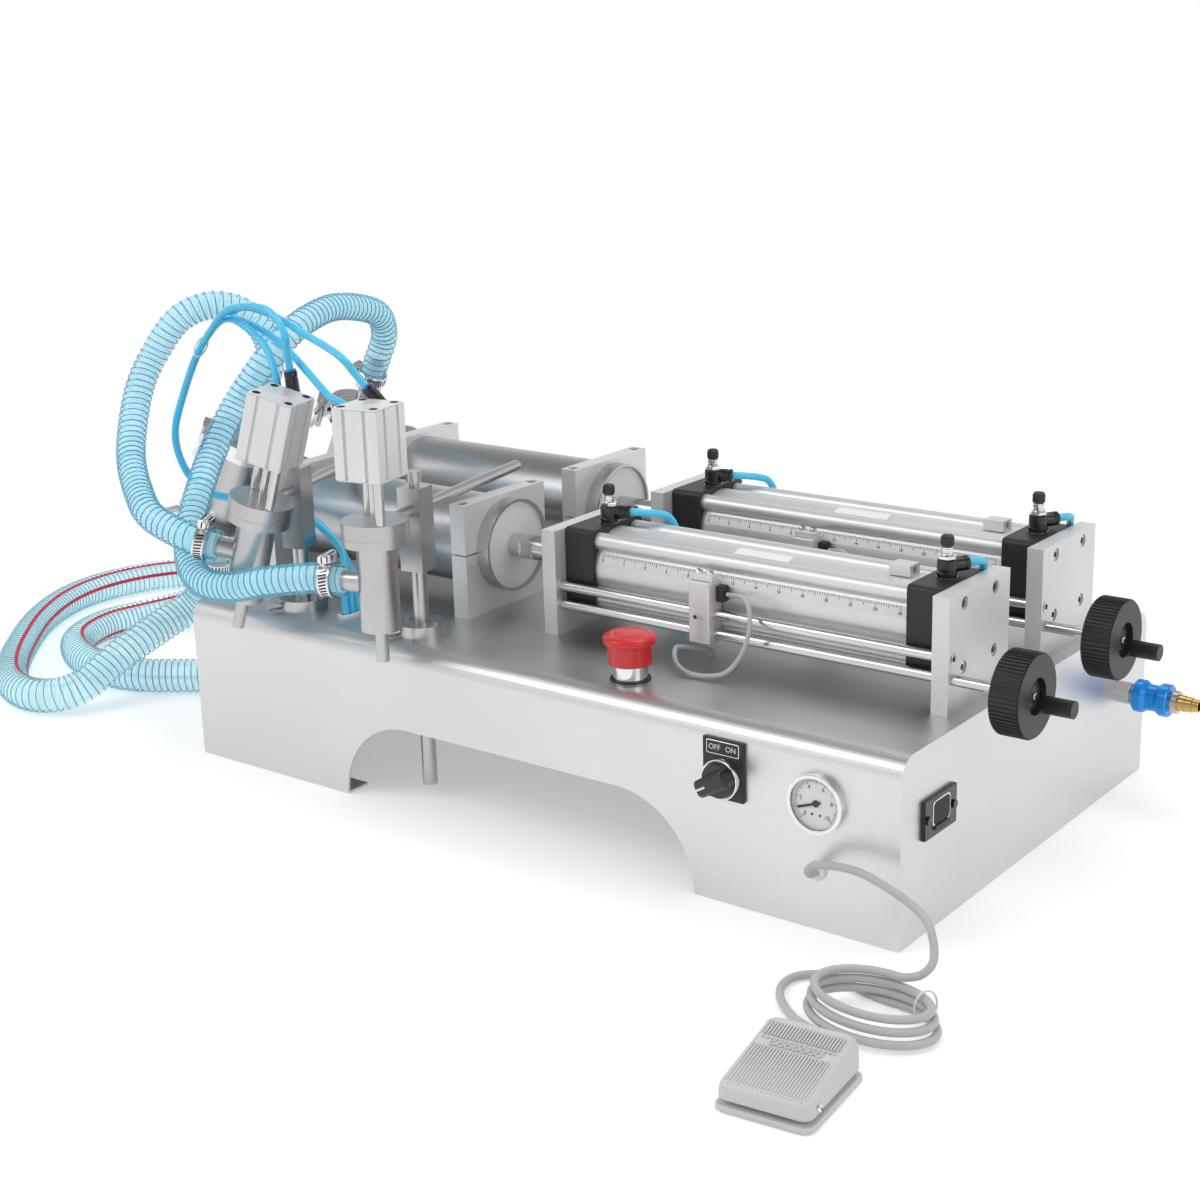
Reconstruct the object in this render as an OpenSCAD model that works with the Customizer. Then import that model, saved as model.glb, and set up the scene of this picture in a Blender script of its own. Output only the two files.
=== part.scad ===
// Twin-head horizontal piston filling machine for liquids.
// Millimetres. X runs along the machine, Y to its back, Z up.
// The origin is the middle of the base's footprint, on the table.

/* [Base housing] */
// Length of the folded base along the machine
base_l = 680; // [600:5:760]
// Depth of the base from front to back
base_w = 400; // [380:5:440]
// Height of the base's top face
base_h = 137; // [125:1:150]
// Thickness of the folded sheet
sheet_t = 2; // [1.5:0.1:3]
// Outside radius of the bend along the top's long edges
edge_r = 16; // [8:1:20]
// Width of the inward lips along the bottom of the long panels
lip_w = 22; // [18:1:30]
// Width of the arch in the front panel
arch_w = 342; // [250:2:360]
// Height of the arch, which is also the radius of its ends
arch_h = 68; // [50:1:80]
// Place of the arch's middle along the machine
arch_x = 3; // [-10:1:10]
// Diameter of the four fixing holes in the lips
foot_hole_d = 6.5; // [5:0.5:8]
// Spacing of the fixing holes along the machine
foot_hole_sx = 600; // [560:5:640]

/* [Piston lines] */
// Number of piston lines side by side
line_count = 2; // [1:1:2]
// Place of the front line across the machine
line_y = -64.5; // [-70:0.5:-60]
// Spacing between the two lines
line_gap = 144.8; // [140:0.2:150]
// Height of both cylinders' axis over the base's top
axis_h = 52.5; // [50:0.5:56]

/* [Product cylinder] */
// Outer diameter of the product tube
tube_d = 76; // [70:1:80]
// Wall of the product tube
tube_wall = 2; // [1.5:0.25:3]
// Place of the product tube's left end
tube_x0 = -353; // [-356:1:-350]
// Length of the product tube
tube_l = 262; // [250:1:270]
// Thickness of a split clamp plate
split_t = 15; // [12:0.5:18]
// Width of a split clamp plate
split_w = 102; // [96:1:108]
// Height of a split clamp plate
split_h = 94.3; // [92:0.1:100]
// Place of the left split clamp plate's middle
split_x0 = -331.5; // [-334:0.5:-330]
// Place of the right split clamp plate's middle
split_x1 = -110.9; // [-113:0.1:-108]
// Gap of the split between the plate's halves
split_gap = 1.2; // [0.6:0.1:2]
// Diameter of the product tube's end flange
flange_d = 90; // [84:1:94]
// Thickness of the product tube's end flange
flange_t = 9; // [6:0.5:12]

/* [Plunger] */
// Thickness of the plunger
plunger_t = 24; // [18:1:30]
// Depth of the plunger's face inside the tube's open end at rest
plunger_in = 3; // [2:0.5:6]
// Diameter of the plunger's sealing rings
seal_d = 3.5; // [2.5:0.5:4]
// Diameter of the piston rod
rod_d = 20; // [16:1:22]
// Width across the rod's spanner flats
flat_w = 16; // [13:0.5:18]

/* [Air cylinder] */
// Bore of the air cylinder
air_bore = 50; // [45:1:52]
// Side of the air cylinder's square end caps
cap_w = 65; // [62:0.5:68]
// Length of an end cap
cap_l = 27; // [24:0.5:30]
// Spacing of the end caps' screws
bolt_gap = 46.5; // [44:0.5:48]
// Half width of the barrel over its corner ribs
barrel_r = 29.5; // [28:0.5:31]
// Thickness of the two mounting plates
plate_t = 12.8; // [11:0.2:14]
// Width of the two mounting plates
plate_w = 91; // [88:1:94]
// Height of the two mounting plates
plate_h = 84.3; // [82:0.1:88]
// Place of the left mounting plate's left face
plate_x0 = -28.6; // [-31:0.1:-27]
// Place of the right mounting plate's right face
plate_x1 = 325; // [322:0.5:327]

/* [Volume setting] */
// Diameter of the guide rod and of the lead screw
guide_d = 8; // [6:0.5:9]
// Distance of both rods in front of the cylinder's axis
guide_out = 38.5; // [38:0.25:40]
// Height of the guide rod below the cylinder's axis
guide_down = 13; // [11:0.5:14]
// Height of the lead screw below the cylinder's axis
lead_down = 28; // [26:0.5:30]
// Diameter of the handwheel
wheel_d = 60; // [54:1:64]
// Width of the handwheel's rim
wheel_t = 22; // [18:1:24]
// Place of the handwheel's outer face
wheel_x = 388; // [384:1:394]
// Length of the handwheel's crank grip
grip_l = 20; // [16:1:28]
// Diameter of the crank grip
grip_d = 12.5; // [10:0.5:14]
// Width of the sensor bracket along the machine
bracket_w = 18.5; // [16:0.5:22]
// Height of the sensor bracket
bracket_h = 47; // [44:1:50]
// Depth of the sensor bracket
bracket_t = 17; // [16:0.5:18]
// Place of the sensor bracket's middle along the machine
bracket_x = 120; // [80:1:200]

/* [Nozzle stands] */
// Diameter of the stand's post
post_d = 12; // [10:0.5:14]
// Length of the stand's post
post_l = 212; // [190:1:220]
// Height of the post's lower end over the table
post_z = 10; // [8:1:20]
// Diameter of the collar on the base's top
collar_d = 40; // [36:1:46]
// Height of the collar
collar_h = 10; // [8:0.5:14]
// Side of the square clamp block
block_w = 20; // [18:0.5:24]
// Height of the clamp block
block_h = 67; // [60:1:80]
// Height of the arm over the base's top
arm_h = 102; // [100:1:110]
// Diameter of the arm rod
arm_d = 9; // [8:0.5:10]
// Distance from the post to the nozzle valve's axis
arm_reach = 57; // [54:1:62]
// Length of the arm behind the post
arm_back = 160; // [120:5:170]
// Place of the first stand along the machine
stand_xa = -111; // [-114:1:-108]
// Place of the second stand along the machine
stand_xb = -243; // [-247:1:-240]
// Distance of both stands behind the base's front edge
stand_in = 37; // [35:1:40]
// Turn of the first stand's arm, degrees
turn_a = 10; // [6:1:14]
// Turn of the second stand's arm, degrees
turn_b = 17; // [12:1:20]
// Lean of the second nozzle valve, degrees
lean_b = 16; // [0:1:20]

/* [Nozzle valve] */
// Diameter of the valve's top flanges
bonnet_d = 52; // [48:1:56]
// Thickness of the valve's upper flange
bonnet_t = 11.5; // [10:0.5:13]
// Thickness of the valve's lower flange
seat_t = 7; // [5:0.5:9]
// Outer diameter of the valve's tube
valve_d = 31; // [28:0.5:34]
// Wall of the valve's tube
valve_wall = 2.5; // [2:0.25:3]
// Length of the valve's tube
valve_l = 51; // [46:1:56]
// Length of the valve's lower collar
ferrule_l = 17; // [14:0.5:20]
// Outer diameter of the filling nozzle
nozzle_d = 10; // [8:0.5:12]
// Wall of the filling nozzle
nozzle_wall = 1; // [0.75:0.25:1.5]
// Length of the filling nozzle below its collar
nozzle_l = 26; // [20:1:34]
// Diameter of the pillars between valve and actuator
pillar_d = 8; // [6:0.5:9]
// Length of the pillars
pillar_l = 32; // [28:1:38]
// Side of the square actuator
act_w = 40; // [38:0.5:44]
// Height of the actuator
act_h = 56; // [50:1:62]
// Bore of the actuator
act_bore = 25; // [22:1:28]
// Diameter of the valve's stem
stem_d = 7; // [6:0.5:8]
// Travel of the valve's stem
stem_travel = 12; // [8:1:14]

/* [Hoses and tubes] */
// Outer diameter of the delivery hoses
hose_d = 25; // [24:0.5:26]
// Outer diameter of the suction hoses
suction_d = 32; // [30:0.5:34]
// Wall of the clear product hoses
hose_wall = 3; // [2:0.5:4]
// Height of a rib over the hose's wall
rib_h = 0.8; // [0.4:0.1:1.2]
// Distance between ribs on the delivery hoses
rib_gap = 12; // [11:1:20]
// Distance between ribs on the suction hoses
rib_gap_low = 28; // [24:1:40]
// Diameter of the blue air tubes
air_tube_d = 6; // [5:0.5:7]
// Diameter of the sensor cables
sensor_cable_d = 3.6; // [3:0.2:4]
// Diameter of the foot switch cable
foot_cable_d = 5.6; // [5:0.2:6]

/* [Left end fittings] */
// Place of the check valve's middle beyond the product tube
tee_x = -425; // [-430:1:-420]
// Height of the check valve's middle over the cylinder's axis
tee_up = 11; // [6:1:14]
// Lean of the check valve, degrees
tee_lean = 27; // [22:1:30]
// Outer diameter of the check valve's body
tee_d = 36; // [32:1:40]
// Half length of the check valve's body
tee_half = 46; // [42:1:50]
// Diameter of the pipe from the end flange to the check valve
stub_d = 25; // [20:1:28]
// Diameter of the clamped flanges
clamp_in_d = 50.5; // [48:0.5:54]
// Width of a pipe clamp
clamp_w = 15; // [12:0.5:18]

/* [Foot switch] */
// Width of the foot switch
foot_w = 64; // [58:1:68]
// Length of the foot switch
foot_l = 76; // [70:1:84]
// Height of the pedal's back edge
foot_hi = 30; // [26:1:32]
// Height of the pedal's front edge
foot_lo = 17; // [14:1:19]
// Place of the foot switch along the machine
foot_x = 375; // [370:1:380]
// Place of the foot switch in front of the machine
foot_y = -393; // [-396:1:-390]
// Turn of the foot switch, degrees
foot_turn = 6; // [0:1:12]

/* [Panel fittings] */
// Place of the stop button along the machine
stop_x = 94.6; // [80:1:110]
// Distance of the stop button behind the base's front edge
stop_in = 36.6; // [32:0.2:50]
// Diameter of the stop button's head
stop_d = 39.4; // [36:0.5:44]
// Place of the selector along the machine
selector_x = 202; // [190:1:210]
// Height of the selector over the table
selector_z = 96; // [90:1:100]
// Place of the pressure gauge along the machine
gauge_x = 276.5; // [268:1:282]
// Height of the pressure gauge over the table
gauge_z = 93.5; // [88:1:98]
// Diameter of the gauge's rim
gauge_d = 43; // [40:1:48]
// Distance of the power inlet behind the base's front edge
inlet_in = 50; // [40:1:52]
// Height of the power inlet over the table
inlet_z = 84.5; // [78:1:88]
// Distance of the air inlet from the base's back edge
air_in_back = 52; // [45:1:60]
// Height of the air inlet over the table
air_in_z = 82; // [76:1:88]
// Travel of the slide valve's sleeve
sleeve_travel = 6; // [4:1:8]

/* [Hidden] */

// Overrun of every cut
cut = 1;
// Running clearance between a moving piece and what guides it
run = 0.05;
// Clearance between pieces that only pass each other
slip = 0.3;
// Facets of round pieces
$fn = 48;

steel = "silver";
alu = "gainsboro";
dark = [0.13, 0.13, 0.14];
clear_blue = [0.62, 0.86, 0.92];
air_blue = [0.2, 0.72, 0.95];

axis_z = base_h + axis_h;
stand_y = stand_in - base_w / 2;
stop_y = stop_in - base_w / 2;
inlet_y = inlet_in - base_w / 2;
air_in_y = base_w / 2 - air_in_back;
tube_x1 = tube_x0 + tube_l;
tube_ri = tube_d / 2 - tube_wall;
lines = [for (i = [0 : line_count - 1]) line_y + i * line_gap];

// Moves to the cylinder axis of line i, with the local Z along the machine.
module on_axis(i, x) {
  translate([x, line_y + i * line_gap, axis_z])
    rotate([0, 90, 0])
      children();
}

// A tube with its axis along Z.
module ring(d_out, d_in, h) {
  difference() {
    cylinder(d = d_out, h = h);
    translate([0, 0, -cut]) cylinder(d = d_in, h = h + 2 * cut);
  }
}

// A bar with round ends, w wide and l long in Y.
module slot_bar(w, l, h) {
  translate([-w / 2, -(l - w) / 2, 0]) cube([w, l - w, h]);
  for (s = [-1, 1]) translate([0, s * (l - w) / 2, 0]) cylinder(d = w, h = h);
}

// A box centred on X and Y that stands on Z zero.
module slab(size) {
  translate([-size[0] / 2, -size[1] / 2, 0]) cube(size);
}

// A socket head screw, head up, whose shank points down from Z zero.
module socket_screw(d, shank) {
  difference() {
    union() {
      cylinder(d = 1.5 * d, h = d);
      translate([0, 0, -shank]) cylinder(d = d, h = shank + d / 2);
    }
    translate([0, 0, d / 2]) cylinder(d = 0.9 * d, h = d, $fn = 6);
  }
}

// Base housing

housing_foot_y = base_w / 2 - sheet_t - lip_w / 2;
stop_hole_d = 22;
selector_hole_d = 22;
gauge_hole_d = 38;
grommet_x = 276;
grommet_z = 43.5;
grommet_hole_d = 10;
inlet_w = 44;
inlet_tall = 22;
inlet_hole_w = 28;
air_hole_d = 14;
tube_hole_d = 8;
bundle_slot_w = 9;
bundle_slot_l = 32;
bundle_x = -195;
bundle_in = 48;
bundle_y = bundle_in - base_w / 2;

// Outline across the machine, inset by the given amount.
module housing_outline(inset) {
  half = base_w / 2 - inset;
  r = edge_r - inset;
  hull() {
    translate([-half, -cut]) square([2 * half, cut]);
    for (s = [-1, 1]) translate([s * (half - r), base_h - inset - r]) circle(r = r);
  }
}

module housing_shell() {
  rotate([90, 0, 90])
    difference() {
      translate([0, 0, -base_l / 2]) linear_extrude(base_l) housing_outline(0);
      translate([0, 0, sheet_t - base_l / 2])
        linear_extrude(base_l - 2 * sheet_t) housing_outline(sheet_t);
    }
}

module arch_cut() {
  translate([arch_x, -base_w / 2 + lip_w + 2 * sheet_t, -cut])
    rotate([90, 0, 0])
      linear_extrude(lip_w + 2 * sheet_t + cut) {
        translate([arch_h - arch_w / 2, 0]) square([arch_w - 2 * arch_h, arch_h + cut]);
        for (s = [-1, 1])
          translate([s * (arch_w / 2 - arch_h), cut])
            intersection() {
              circle(r = arch_h);
              translate([-arch_h, -cut]) square([2 * arch_h, arch_h + cut]);
            }
      }
}

module base_housing() {
  color(steel)
    difference() {
      union() {
        intersection() {
          housing_shell();
          translate([0, 0, base_h / 2]) cube([2 * base_l, 2 * base_w, base_h], center = true);
        }
        for (s = [-1, 1])
          translate([0, s * (base_w / 2 - sheet_t / 2 - lip_w / 2), 0])
            slab([base_l - sheet_t, lip_w, sheet_t]);
      }
      arch_cut();
      for (x = [-1, 1], y = [-1, 1])
        translate([x * foot_hole_sx / 2, y * housing_foot_y, -cut])
          cylinder(d = foot_hole_d, h = sheet_t + 2 * cut);
      translate([stop_x, stop_y, base_h - 2 * sheet_t]) cylinder(d = stop_hole_d, h = 3 * sheet_t);
      for (x = [stand_xa, stand_xb])
        translate([x, stand_y, base_h - 2 * sheet_t])
          cylinder(d = post_d + 2 * slip, h = 3 * sheet_t);
      translate([bundle_x, bundle_y, base_h - 2 * sheet_t])
        slot_bar(bundle_slot_w, bundle_slot_l, 3 * sheet_t);
      for (y = lines, x = [air_drop_x0, air_drop_x1])
        translate([x, y + air_drop_y, base_h - 2 * sheet_t])
          cylinder(d = tube_hole_d, h = 3 * sheet_t);
      for (y = lines)
        translate([sensor_hole_x, y + sensor_hole_y, base_h - 2 * sheet_t])
          cylinder(d = sensor_cable_d + 2 * slip, h = 3 * sheet_t);
      translate([selector_x, -base_w / 2 + 2 * sheet_t, selector_z])
        rotate([90, 0, 0]) cylinder(d = selector_hole_d, h = 3 * sheet_t);
      translate([gauge_x, -base_w / 2 + 2 * sheet_t, gauge_z])
        rotate([90, 0, 0]) cylinder(d = gauge_hole_d, h = 3 * sheet_t);
      translate([grommet_x, -base_w / 2 + 2 * sheet_t, grommet_z])
        rotate([90, 0, 0]) cylinder(d = grommet_hole_d, h = 3 * sheet_t);
      translate([base_l / 2 - 2 * sheet_t, inlet_y - inlet_hole_w / 2, inlet_z - inlet_tall / 2])
        cube([3 * sheet_t, inlet_hole_w, inlet_tall]);
      translate([base_l / 2 - 2 * sheet_t, air_in_y, air_in_z])
        rotate([0, 90, 0]) cylinder(d = air_hole_d, h = 3 * sheet_t);
    }
}

// Plates that carry the cylinders

plate_screw_d = 6;
split_screw_in = 7;
split_shank_l = 48;
split_seat = 7;

module split_plate() {
  seat_y = split_w / 2 - split_screw_in;
  difference() {
    translate([-split_t / 2, -split_w / 2, base_h]) cube([split_t, split_w, split_h]);
    translate([-split_t / 2 - cut, 0, axis_z])
      rotate([0, 90, 0]) cylinder(d = tube_d, h = split_t + 2 * cut);
    translate([-split_t, -split_w, axis_z - split_gap / 2]) cube([2 * split_t, 2 * split_w, split_gap]);
    for (s = [-1, 1])
      translate([0, s * seat_y, base_h + split_h - split_seat])
        cylinder(d = 1.5 * plate_screw_d + 2 * slip, h = split_seat + cut);
    for (s = [-1, 1])
      translate([0, s * seat_y, axis_z - 2 * split_seat])
        cylinder(d = plate_screw_d, h = split_h);
  }
}

module clamp_plates() {
  color(alu)
    for (y = lines, x = [split_x0, split_x1]) translate([x, y, 0]) split_plate();
}

module mount_plate(x0, right) {
  difference() {
    translate([x0, -plate_w / 2, base_h]) cube([plate_t, plate_w, plate_h]);
    if (!right)
      translate([x0 - cut, 0, axis_z]) rotate([0, 90, 0])
        cylinder(d = rod_d + 2 * slip, h = plate_t + 2 * cut);
    for (s = [-1, 1], t = [-1, 1])
      translate([x0 - cut, s * bolt_gap / 2, axis_z + t * bolt_gap / 2])
        rotate([0, 90, 0]) cylinder(d = plate_screw_d, h = plate_t + 2 * cut);
    for (s = [-1, 1], t = [-1, 1])
      translate([right ? x0 + plate_t - split_seat : x0 - cut, s * bolt_gap / 2, axis_z + t * bolt_gap / 2])
        rotate([0, 90, 0]) cylinder(d = 1.5 * plate_screw_d + 2 * slip, h = split_seat + cut);
    translate([x0 - cut, -guide_out, axis_z - guide_down])
      rotate([0, 90, 0]) cylinder(d = guide_d, h = plate_t + 2 * cut);
    translate([x0 - cut, -guide_out, axis_z - lead_down])
      rotate([0, 90, 0]) cylinder(d = guide_d + 2 * run, h = plate_t + 2 * cut);
  }
}

module cylinder_plates() {
  color(alu)
    for (y = lines)
      translate([0, y, 0]) {
        mount_plate(plate_x0, false);
        mount_plate(plate_x1 - plate_t, true);
      }
}

// Product cylinders

module material_tubes() {
  color(steel)
    for (i = [0 : line_count - 1]) on_axis(i, tube_x0) ring(tube_d, tube_d - 2 * tube_wall, tube_l);
}

plug_l = 6;

module tube_end_caps() {
  color(steel)
    for (i = [0 : line_count - 1])
      on_axis(i, tube_x0 - flange_t)
        difference() {
          union() {
            cylinder(d = flange_d, h = flange_t);
            cylinder(d = 2 * tube_ri - 2 * run, h = flange_t + plug_l);
          }
          translate([0, 0, -cut]) cylinder(d = stub_d - 2 * tube_wall, h = flange_t + plug_l + 2 * cut);
        }
}

plunger_d = 2 * tube_ri - 2 * run;
seal_step = 8;
face_recess = 2;

// Plunger with two sealing rings in grooves; its face looks along +X.
module plunger(i) {
  face_x = tube_x1 - plunger_in;
  on_axis(i, face_x - plunger_t) {
    color("whitesmoke")
      difference() {
        cylinder(d = plunger_d, h = plunger_t);
        for (k = [1, 2])
          translate([0, 0, k * seal_step - seal_d / 2])
            ring(plunger_d + cut, plunger_d - 2 * seal_d, seal_d);
        translate([0, 0, plunger_t - face_recess]) cylinder(d = rod_d, h = face_recess + cut);
      }
    color(dark)
      for (k = [1, 2])
        translate([0, 0, k * seal_step - seal_d / 2])
          ring(plunger_d, plunger_d - 2 * seal_d, seal_d);
  }
}

module plunger_a() {
  plunger(0);
}
module plunger_b() {
  plunger(1);
}

air_piston_t = 22;
flat_l = 14;
flat_from_face = 8;
barrel_x0 = plate_x0 + plate_t + cap_l;
barrel_x1 = plate_x1 - plate_t - cap_l;

// Piston rod with spanner flats, and the air piston on its right end.
module piston_rod(i) {
  left_x = tube_x1 - plunger_in - face_recess;
  right_x = barrel_x1 - slip;
  flat_x = tube_x1 + flat_from_face;
  on_axis(i, left_x)
    color(steel)
      difference() {
        union() {
          cylinder(d = rod_d, h = right_x - left_x - air_piston_t / 2);
          translate([0, 0, right_x - left_x - air_piston_t])
            cylinder(d = air_bore - 2 * run, h = air_piston_t);
        }
        for (s = [-1, 1])
          translate([0, s * (flat_w + rod_d) / 2, flat_x - left_x + flat_l / 2])
            cube([2 * rod_d, rod_d, flat_l], center = true);
      }
}

module piston_rod_a() {
  piston_rod(0);
}
module piston_rod_b() {
  piston_rod(1);
}

// Air cylinders

lobe_d = 13;
clip_w = 17;
clip_t = 14;
clip_h = 8;
clip_in = 20;
clip_hole_d = 5;

// Barrel profile: a round tube in a square web with four round corner ribs.
module barrel_profile() {
  lobe_at = bolt_gap / 2;
  difference() {
    union() {
      circle(r = barrel_r);
      for (s = [-1, 1], t = [-1, 1]) translate([s * lobe_at, t * lobe_at]) circle(d = lobe_d);
    }
    circle(d = air_bore);
    for (s = [-1, 1], t = [-1, 1])
      translate([s * lobe_at, t * lobe_at]) circle(d = plate_screw_d);
  }
}

module air_barrels() {
  color(alu)
    for (i = [0 : line_count - 1]) {
      on_axis(i, barrel_x0) linear_extrude(barrel_x1 - barrel_x0) barrel_profile();
      translate([barrel_x1 - clip_in, line_y + i * line_gap, axis_z + barrel_r])
        difference() {
          slab([clip_w, clip_t, clip_h]);
          translate([-clip_w, 0, clip_h / 2]) rotate([0, 90, 0])
            cylinder(d = clip_hole_d, h = 2 * clip_w);
        }
    }
}

cap_edge_r = 4;
port_d = 9;
port_depth = 8;

module air_cap(i, x0, open) {
  on_axis(i, x0)
    difference() {
      linear_extrude(cap_l)
        hull()
          for (s = [-1, 1], t = [-1, 1])
            translate([s * (cap_w / 2 - cap_edge_r), t * (cap_w / 2 - cap_edge_r)])
              circle(r = cap_edge_r);
      if (open) translate([0, 0, -cut]) cylinder(d = rod_d + 2 * run, h = cap_l + 2 * cut);
      for (s = [-1, 1], t = [-1, 1])
        translate([s * bolt_gap / 2, t * bolt_gap / 2, -cut])
          cylinder(d = plate_screw_d, h = cap_l + 2 * cut);
      translate([-cap_w / 2 - cut, 0, open ? cap_l * fc_x0_share : cap_l / 2]) rotate([0, 90, 0])
        cylinder(d = port_d, h = port_depth + cut);
    }
}

module air_caps() {
  color(dark)
    for (i = [0 : line_count - 1]) {
      air_cap(i, plate_x0 + plate_t, true);
      air_cap(i, barrel_x1, false);
    }
}

plate_bolt_l = 26;
set_screw_d = 4;
set_screw_l = 5;

module machine_screws() {
  color(steel) {
    for (i = [0 : line_count - 1], s = [-1, 1], t = [-1, 1])
      translate([plate_x1 - split_seat, lines[i] + s * bolt_gap / 2, axis_z + t * bolt_gap / 2])
        rotate([0, 90, 0]) socket_screw(plate_screw_d, plate_bolt_l);
    for (i = [0 : line_count - 1], s = [-1, 1], t = [-1, 1])
      translate([plate_x0 + split_seat, lines[i] + s * bolt_gap / 2, axis_z + t * bolt_gap / 2])
        rotate([0, -90, 0]) socket_screw(plate_screw_d, plate_bolt_l);
    for (y = lines, x = [split_x0, split_x1], s = [-1, 1])
      translate([x, y + s * (split_w / 2 - split_screw_in), base_h + split_h - split_seat])
        socket_screw(plate_screw_d, split_shank_l);
  }
}

module guide_rods() {
  color(steel)
    for (i = [0 : line_count - 1])
      translate([plate_x0, line_y + i * line_gap - guide_out, axis_z - guide_down])
        rotate([0, 90, 0]) cylinder(d = guide_d, h = plate_x1 - plate_x0);
}

// Air flow controls on the caps

fc_body_d = 14;
fc_body_h = 13;
fc_neck_d = 9;
fc_neck_h = 9;
fc_hex_d = 12;
fc_hex_h = 3;
fc_arm_l = 17;
fc_arm_d = 11;
fc_arm_up = 8;
fc_knob_d = 9.5;
fc_knob_h = 8;
fc_needle_d = 4;
fc_x0_share = 0.72;
fc_x0 = plate_x0 + plate_t + cap_l * fc_x0_share;
fc_x1 = barrel_x1 + cap_l / 2;
fc_z = axis_z + cap_w / 2;

module flow_control(turn) {
  difference() {
    union() {
      translate([0, 0, -port_depth + slip]) cylinder(d = port_d - 2 * slip, h = port_depth);
      cylinder(d = fc_body_d, h = fc_body_h);
      translate([0, 0, fc_body_h]) cylinder(d = fc_hex_d, h = fc_hex_h, $fn = 6);
      translate([0, 0, fc_body_h]) cylinder(d = fc_neck_d, h = fc_neck_h);
      rotate([0, 0, turn]) translate([0, 0, fc_arm_up]) rotate([0, 90, 0])
        cylinder(d = fc_arm_d, h = fc_arm_l);
    }
    translate([0, 0, fc_body_h]) cylinder(d = fc_needle_d + 2 * run, h = fc_neck_h + cut);
  }
}

turn_left = 25;
turn_right = 60;

module flow_controls() {
  color(dark)
    for (y = lines) {
      translate([fc_x0, y, fc_z]) flow_control(turn_left);
      translate([fc_x1, y, fc_z]) flow_control(turn_right);
    }
}

module flow_knob(i, x) {
  neck_gap = slip;
  color(dark)
    translate([x, line_y + i * line_gap, fc_z + fc_body_h]) {
      translate([0, 0, neck_gap]) cylinder(d = fc_needle_d, h = fc_neck_h + neck_gap);
      translate([0, 0, fc_neck_h + neck_gap]) cylinder(d = fc_knob_d, h = fc_knob_h);
    }
}

module flow_knob_a1() {
  flow_knob(0, fc_x0);
}
module flow_knob_a2() {
  flow_knob(0, fc_x1);
}
module flow_knob_b1() {
  flow_knob(1, fc_x0);
}
module flow_knob_b2() {
  flow_knob(1, fc_x1);
}

// Swept tubes

function add_len(p, i) = i == 0 ? 0 : add_len(p, i - 1) + norm(p[i] - p[i - 1]);
function spline(a, b, c, d, t) =
  0.5 * (2 * b + (c - a) * t + (2 * a - 5 * b + 4 * c - d) * t * t + (3 * b - 3 * c + d - a) * t * t * t);
// Smooth points through a route, n to each span.
function smooth(p, n) = let (m = len(p) - 1)
  [for (i = [0 : m - 1], k = [0 : n - 1])
    spline(p[max(i - 1, 0)], p[i], p[i + 1], p[min(i + 2, m)], k / n), p[m]];
function unit(v) = v / norm(v);
function dir_at(p, i) = let (m = len(p) - 1) unit(p[min(i + 1, m)] - p[max(i - 1, 0)]);
// Side vectors carried along the path without twist.
function carry(p, i, u) = let (t = dir_at(p, i)) unit(u - (u * t) * t);
function sides(p, u0) = [for (i = 0, u = carry(p, 0, u0); i < len(p);
  i = i + 1, u = i < len(p) ? carry(p, i, u) : u) u];
function ring_at(p, u, t, r, n) = let (w = cross(t, u))
  [for (k = [0 : n - 1]) p + r * cos(360 * k / n) * u + r * sin(360 * k / n) * w];

// A closed tube along points p, whose radius at point i is r[i], with n sides.
module swept(p, r, n, u0 = [0.3, 0.2, 1]) {
  us = sides(p, u0);
  m = len(p);
  pts = [for (i = [0 : m - 1]) each ring_at(p[i], us[i], dir_at(p, i), r[i], n)];
  walls = [for (i = [0 : m - 2], k = [0 : n - 1])
    let (a = i * n + k, b = i * n + (k + 1) % n)
      each [[a, b + n, b], [a, a + n, b + n]]];
  start_cap = [for (k = [1 : n - 2]) [0, k, k + 1]];
  end_cap = [for (k = [1 : n - 2]) [(m - 1) * n, (m - 1) * n + k + 1, (m - 1) * n + k]];
  polyhedron(points = pts, faces = concat(walls, start_cap, end_cap));
}

// A ribbed hose with its bore: outer rings p with radii r, inner rings q of radius ri.
module hose(p, r, q, ri, n, u0 = [0.3, 0.2, 1]) {
  us = sides(p, u0);
  vs = sides(q, u0);
  m = len(p);
  k2 = len(q);
  outer = [for (i = [0 : m - 1]) each ring_at(p[i], us[i], dir_at(p, i), r[i], n)];
  inner = [for (i = [0 : k2 - 1]) each ring_at(q[i], vs[i], dir_at(q, i), ri, n)];
  base = m * n;
  walls = [for (i = [0 : m - 2], k = [0 : n - 1])
    let (a = i * n + k, b = i * n + (k + 1) % n)
      each [[a, b + n, b], [a, a + n, b + n]]];
  bore = [for (i = [0 : k2 - 2], k = [0 : n - 1])
    let (a = base + i * n + k, b = base + i * n + (k + 1) % n)
      each [[a, b, b + n], [a, b + n, a + n]]];
  e = (m - 1) * n;
  f = base + (k2 - 1) * n;
  start_face = [for (k = [0 : n - 1])
    let (a = k, b = (k + 1) % n) each [[a, b, base + b], [a, base + b, base + a]]];
  end_face = [for (k = [0 : n - 1])
    let (a = k, b = (k + 1) % n) each [[e + a, f + b, e + b], [e + a, f + a, f + b]]];
  polyhedron(points = concat(outer, inner), faces = concat(walls, bore, start_face, end_face));
}

hose_sides = 8;
hose_fine = 12;

// Point at distance s along fine points p with running lengths l.
function find_span(l, s, i = 1) = (i >= len(l) - 1 || l[i] >= s) ? i : find_span(l, s, i + 1);
function along(p, l, s) = let (i = find_span(l, s), f = (s - l[i - 1]) / (l[i] - l[i - 1]))
  p[i - 1] + f * (p[i] - p[i - 1]);
function lengths(p) = [for (i = 0, s = 0; i < len(p);
  i = i + 1, s = i < len(p) ? s + norm(p[i] - p[i - 1]) : s) s];

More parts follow.
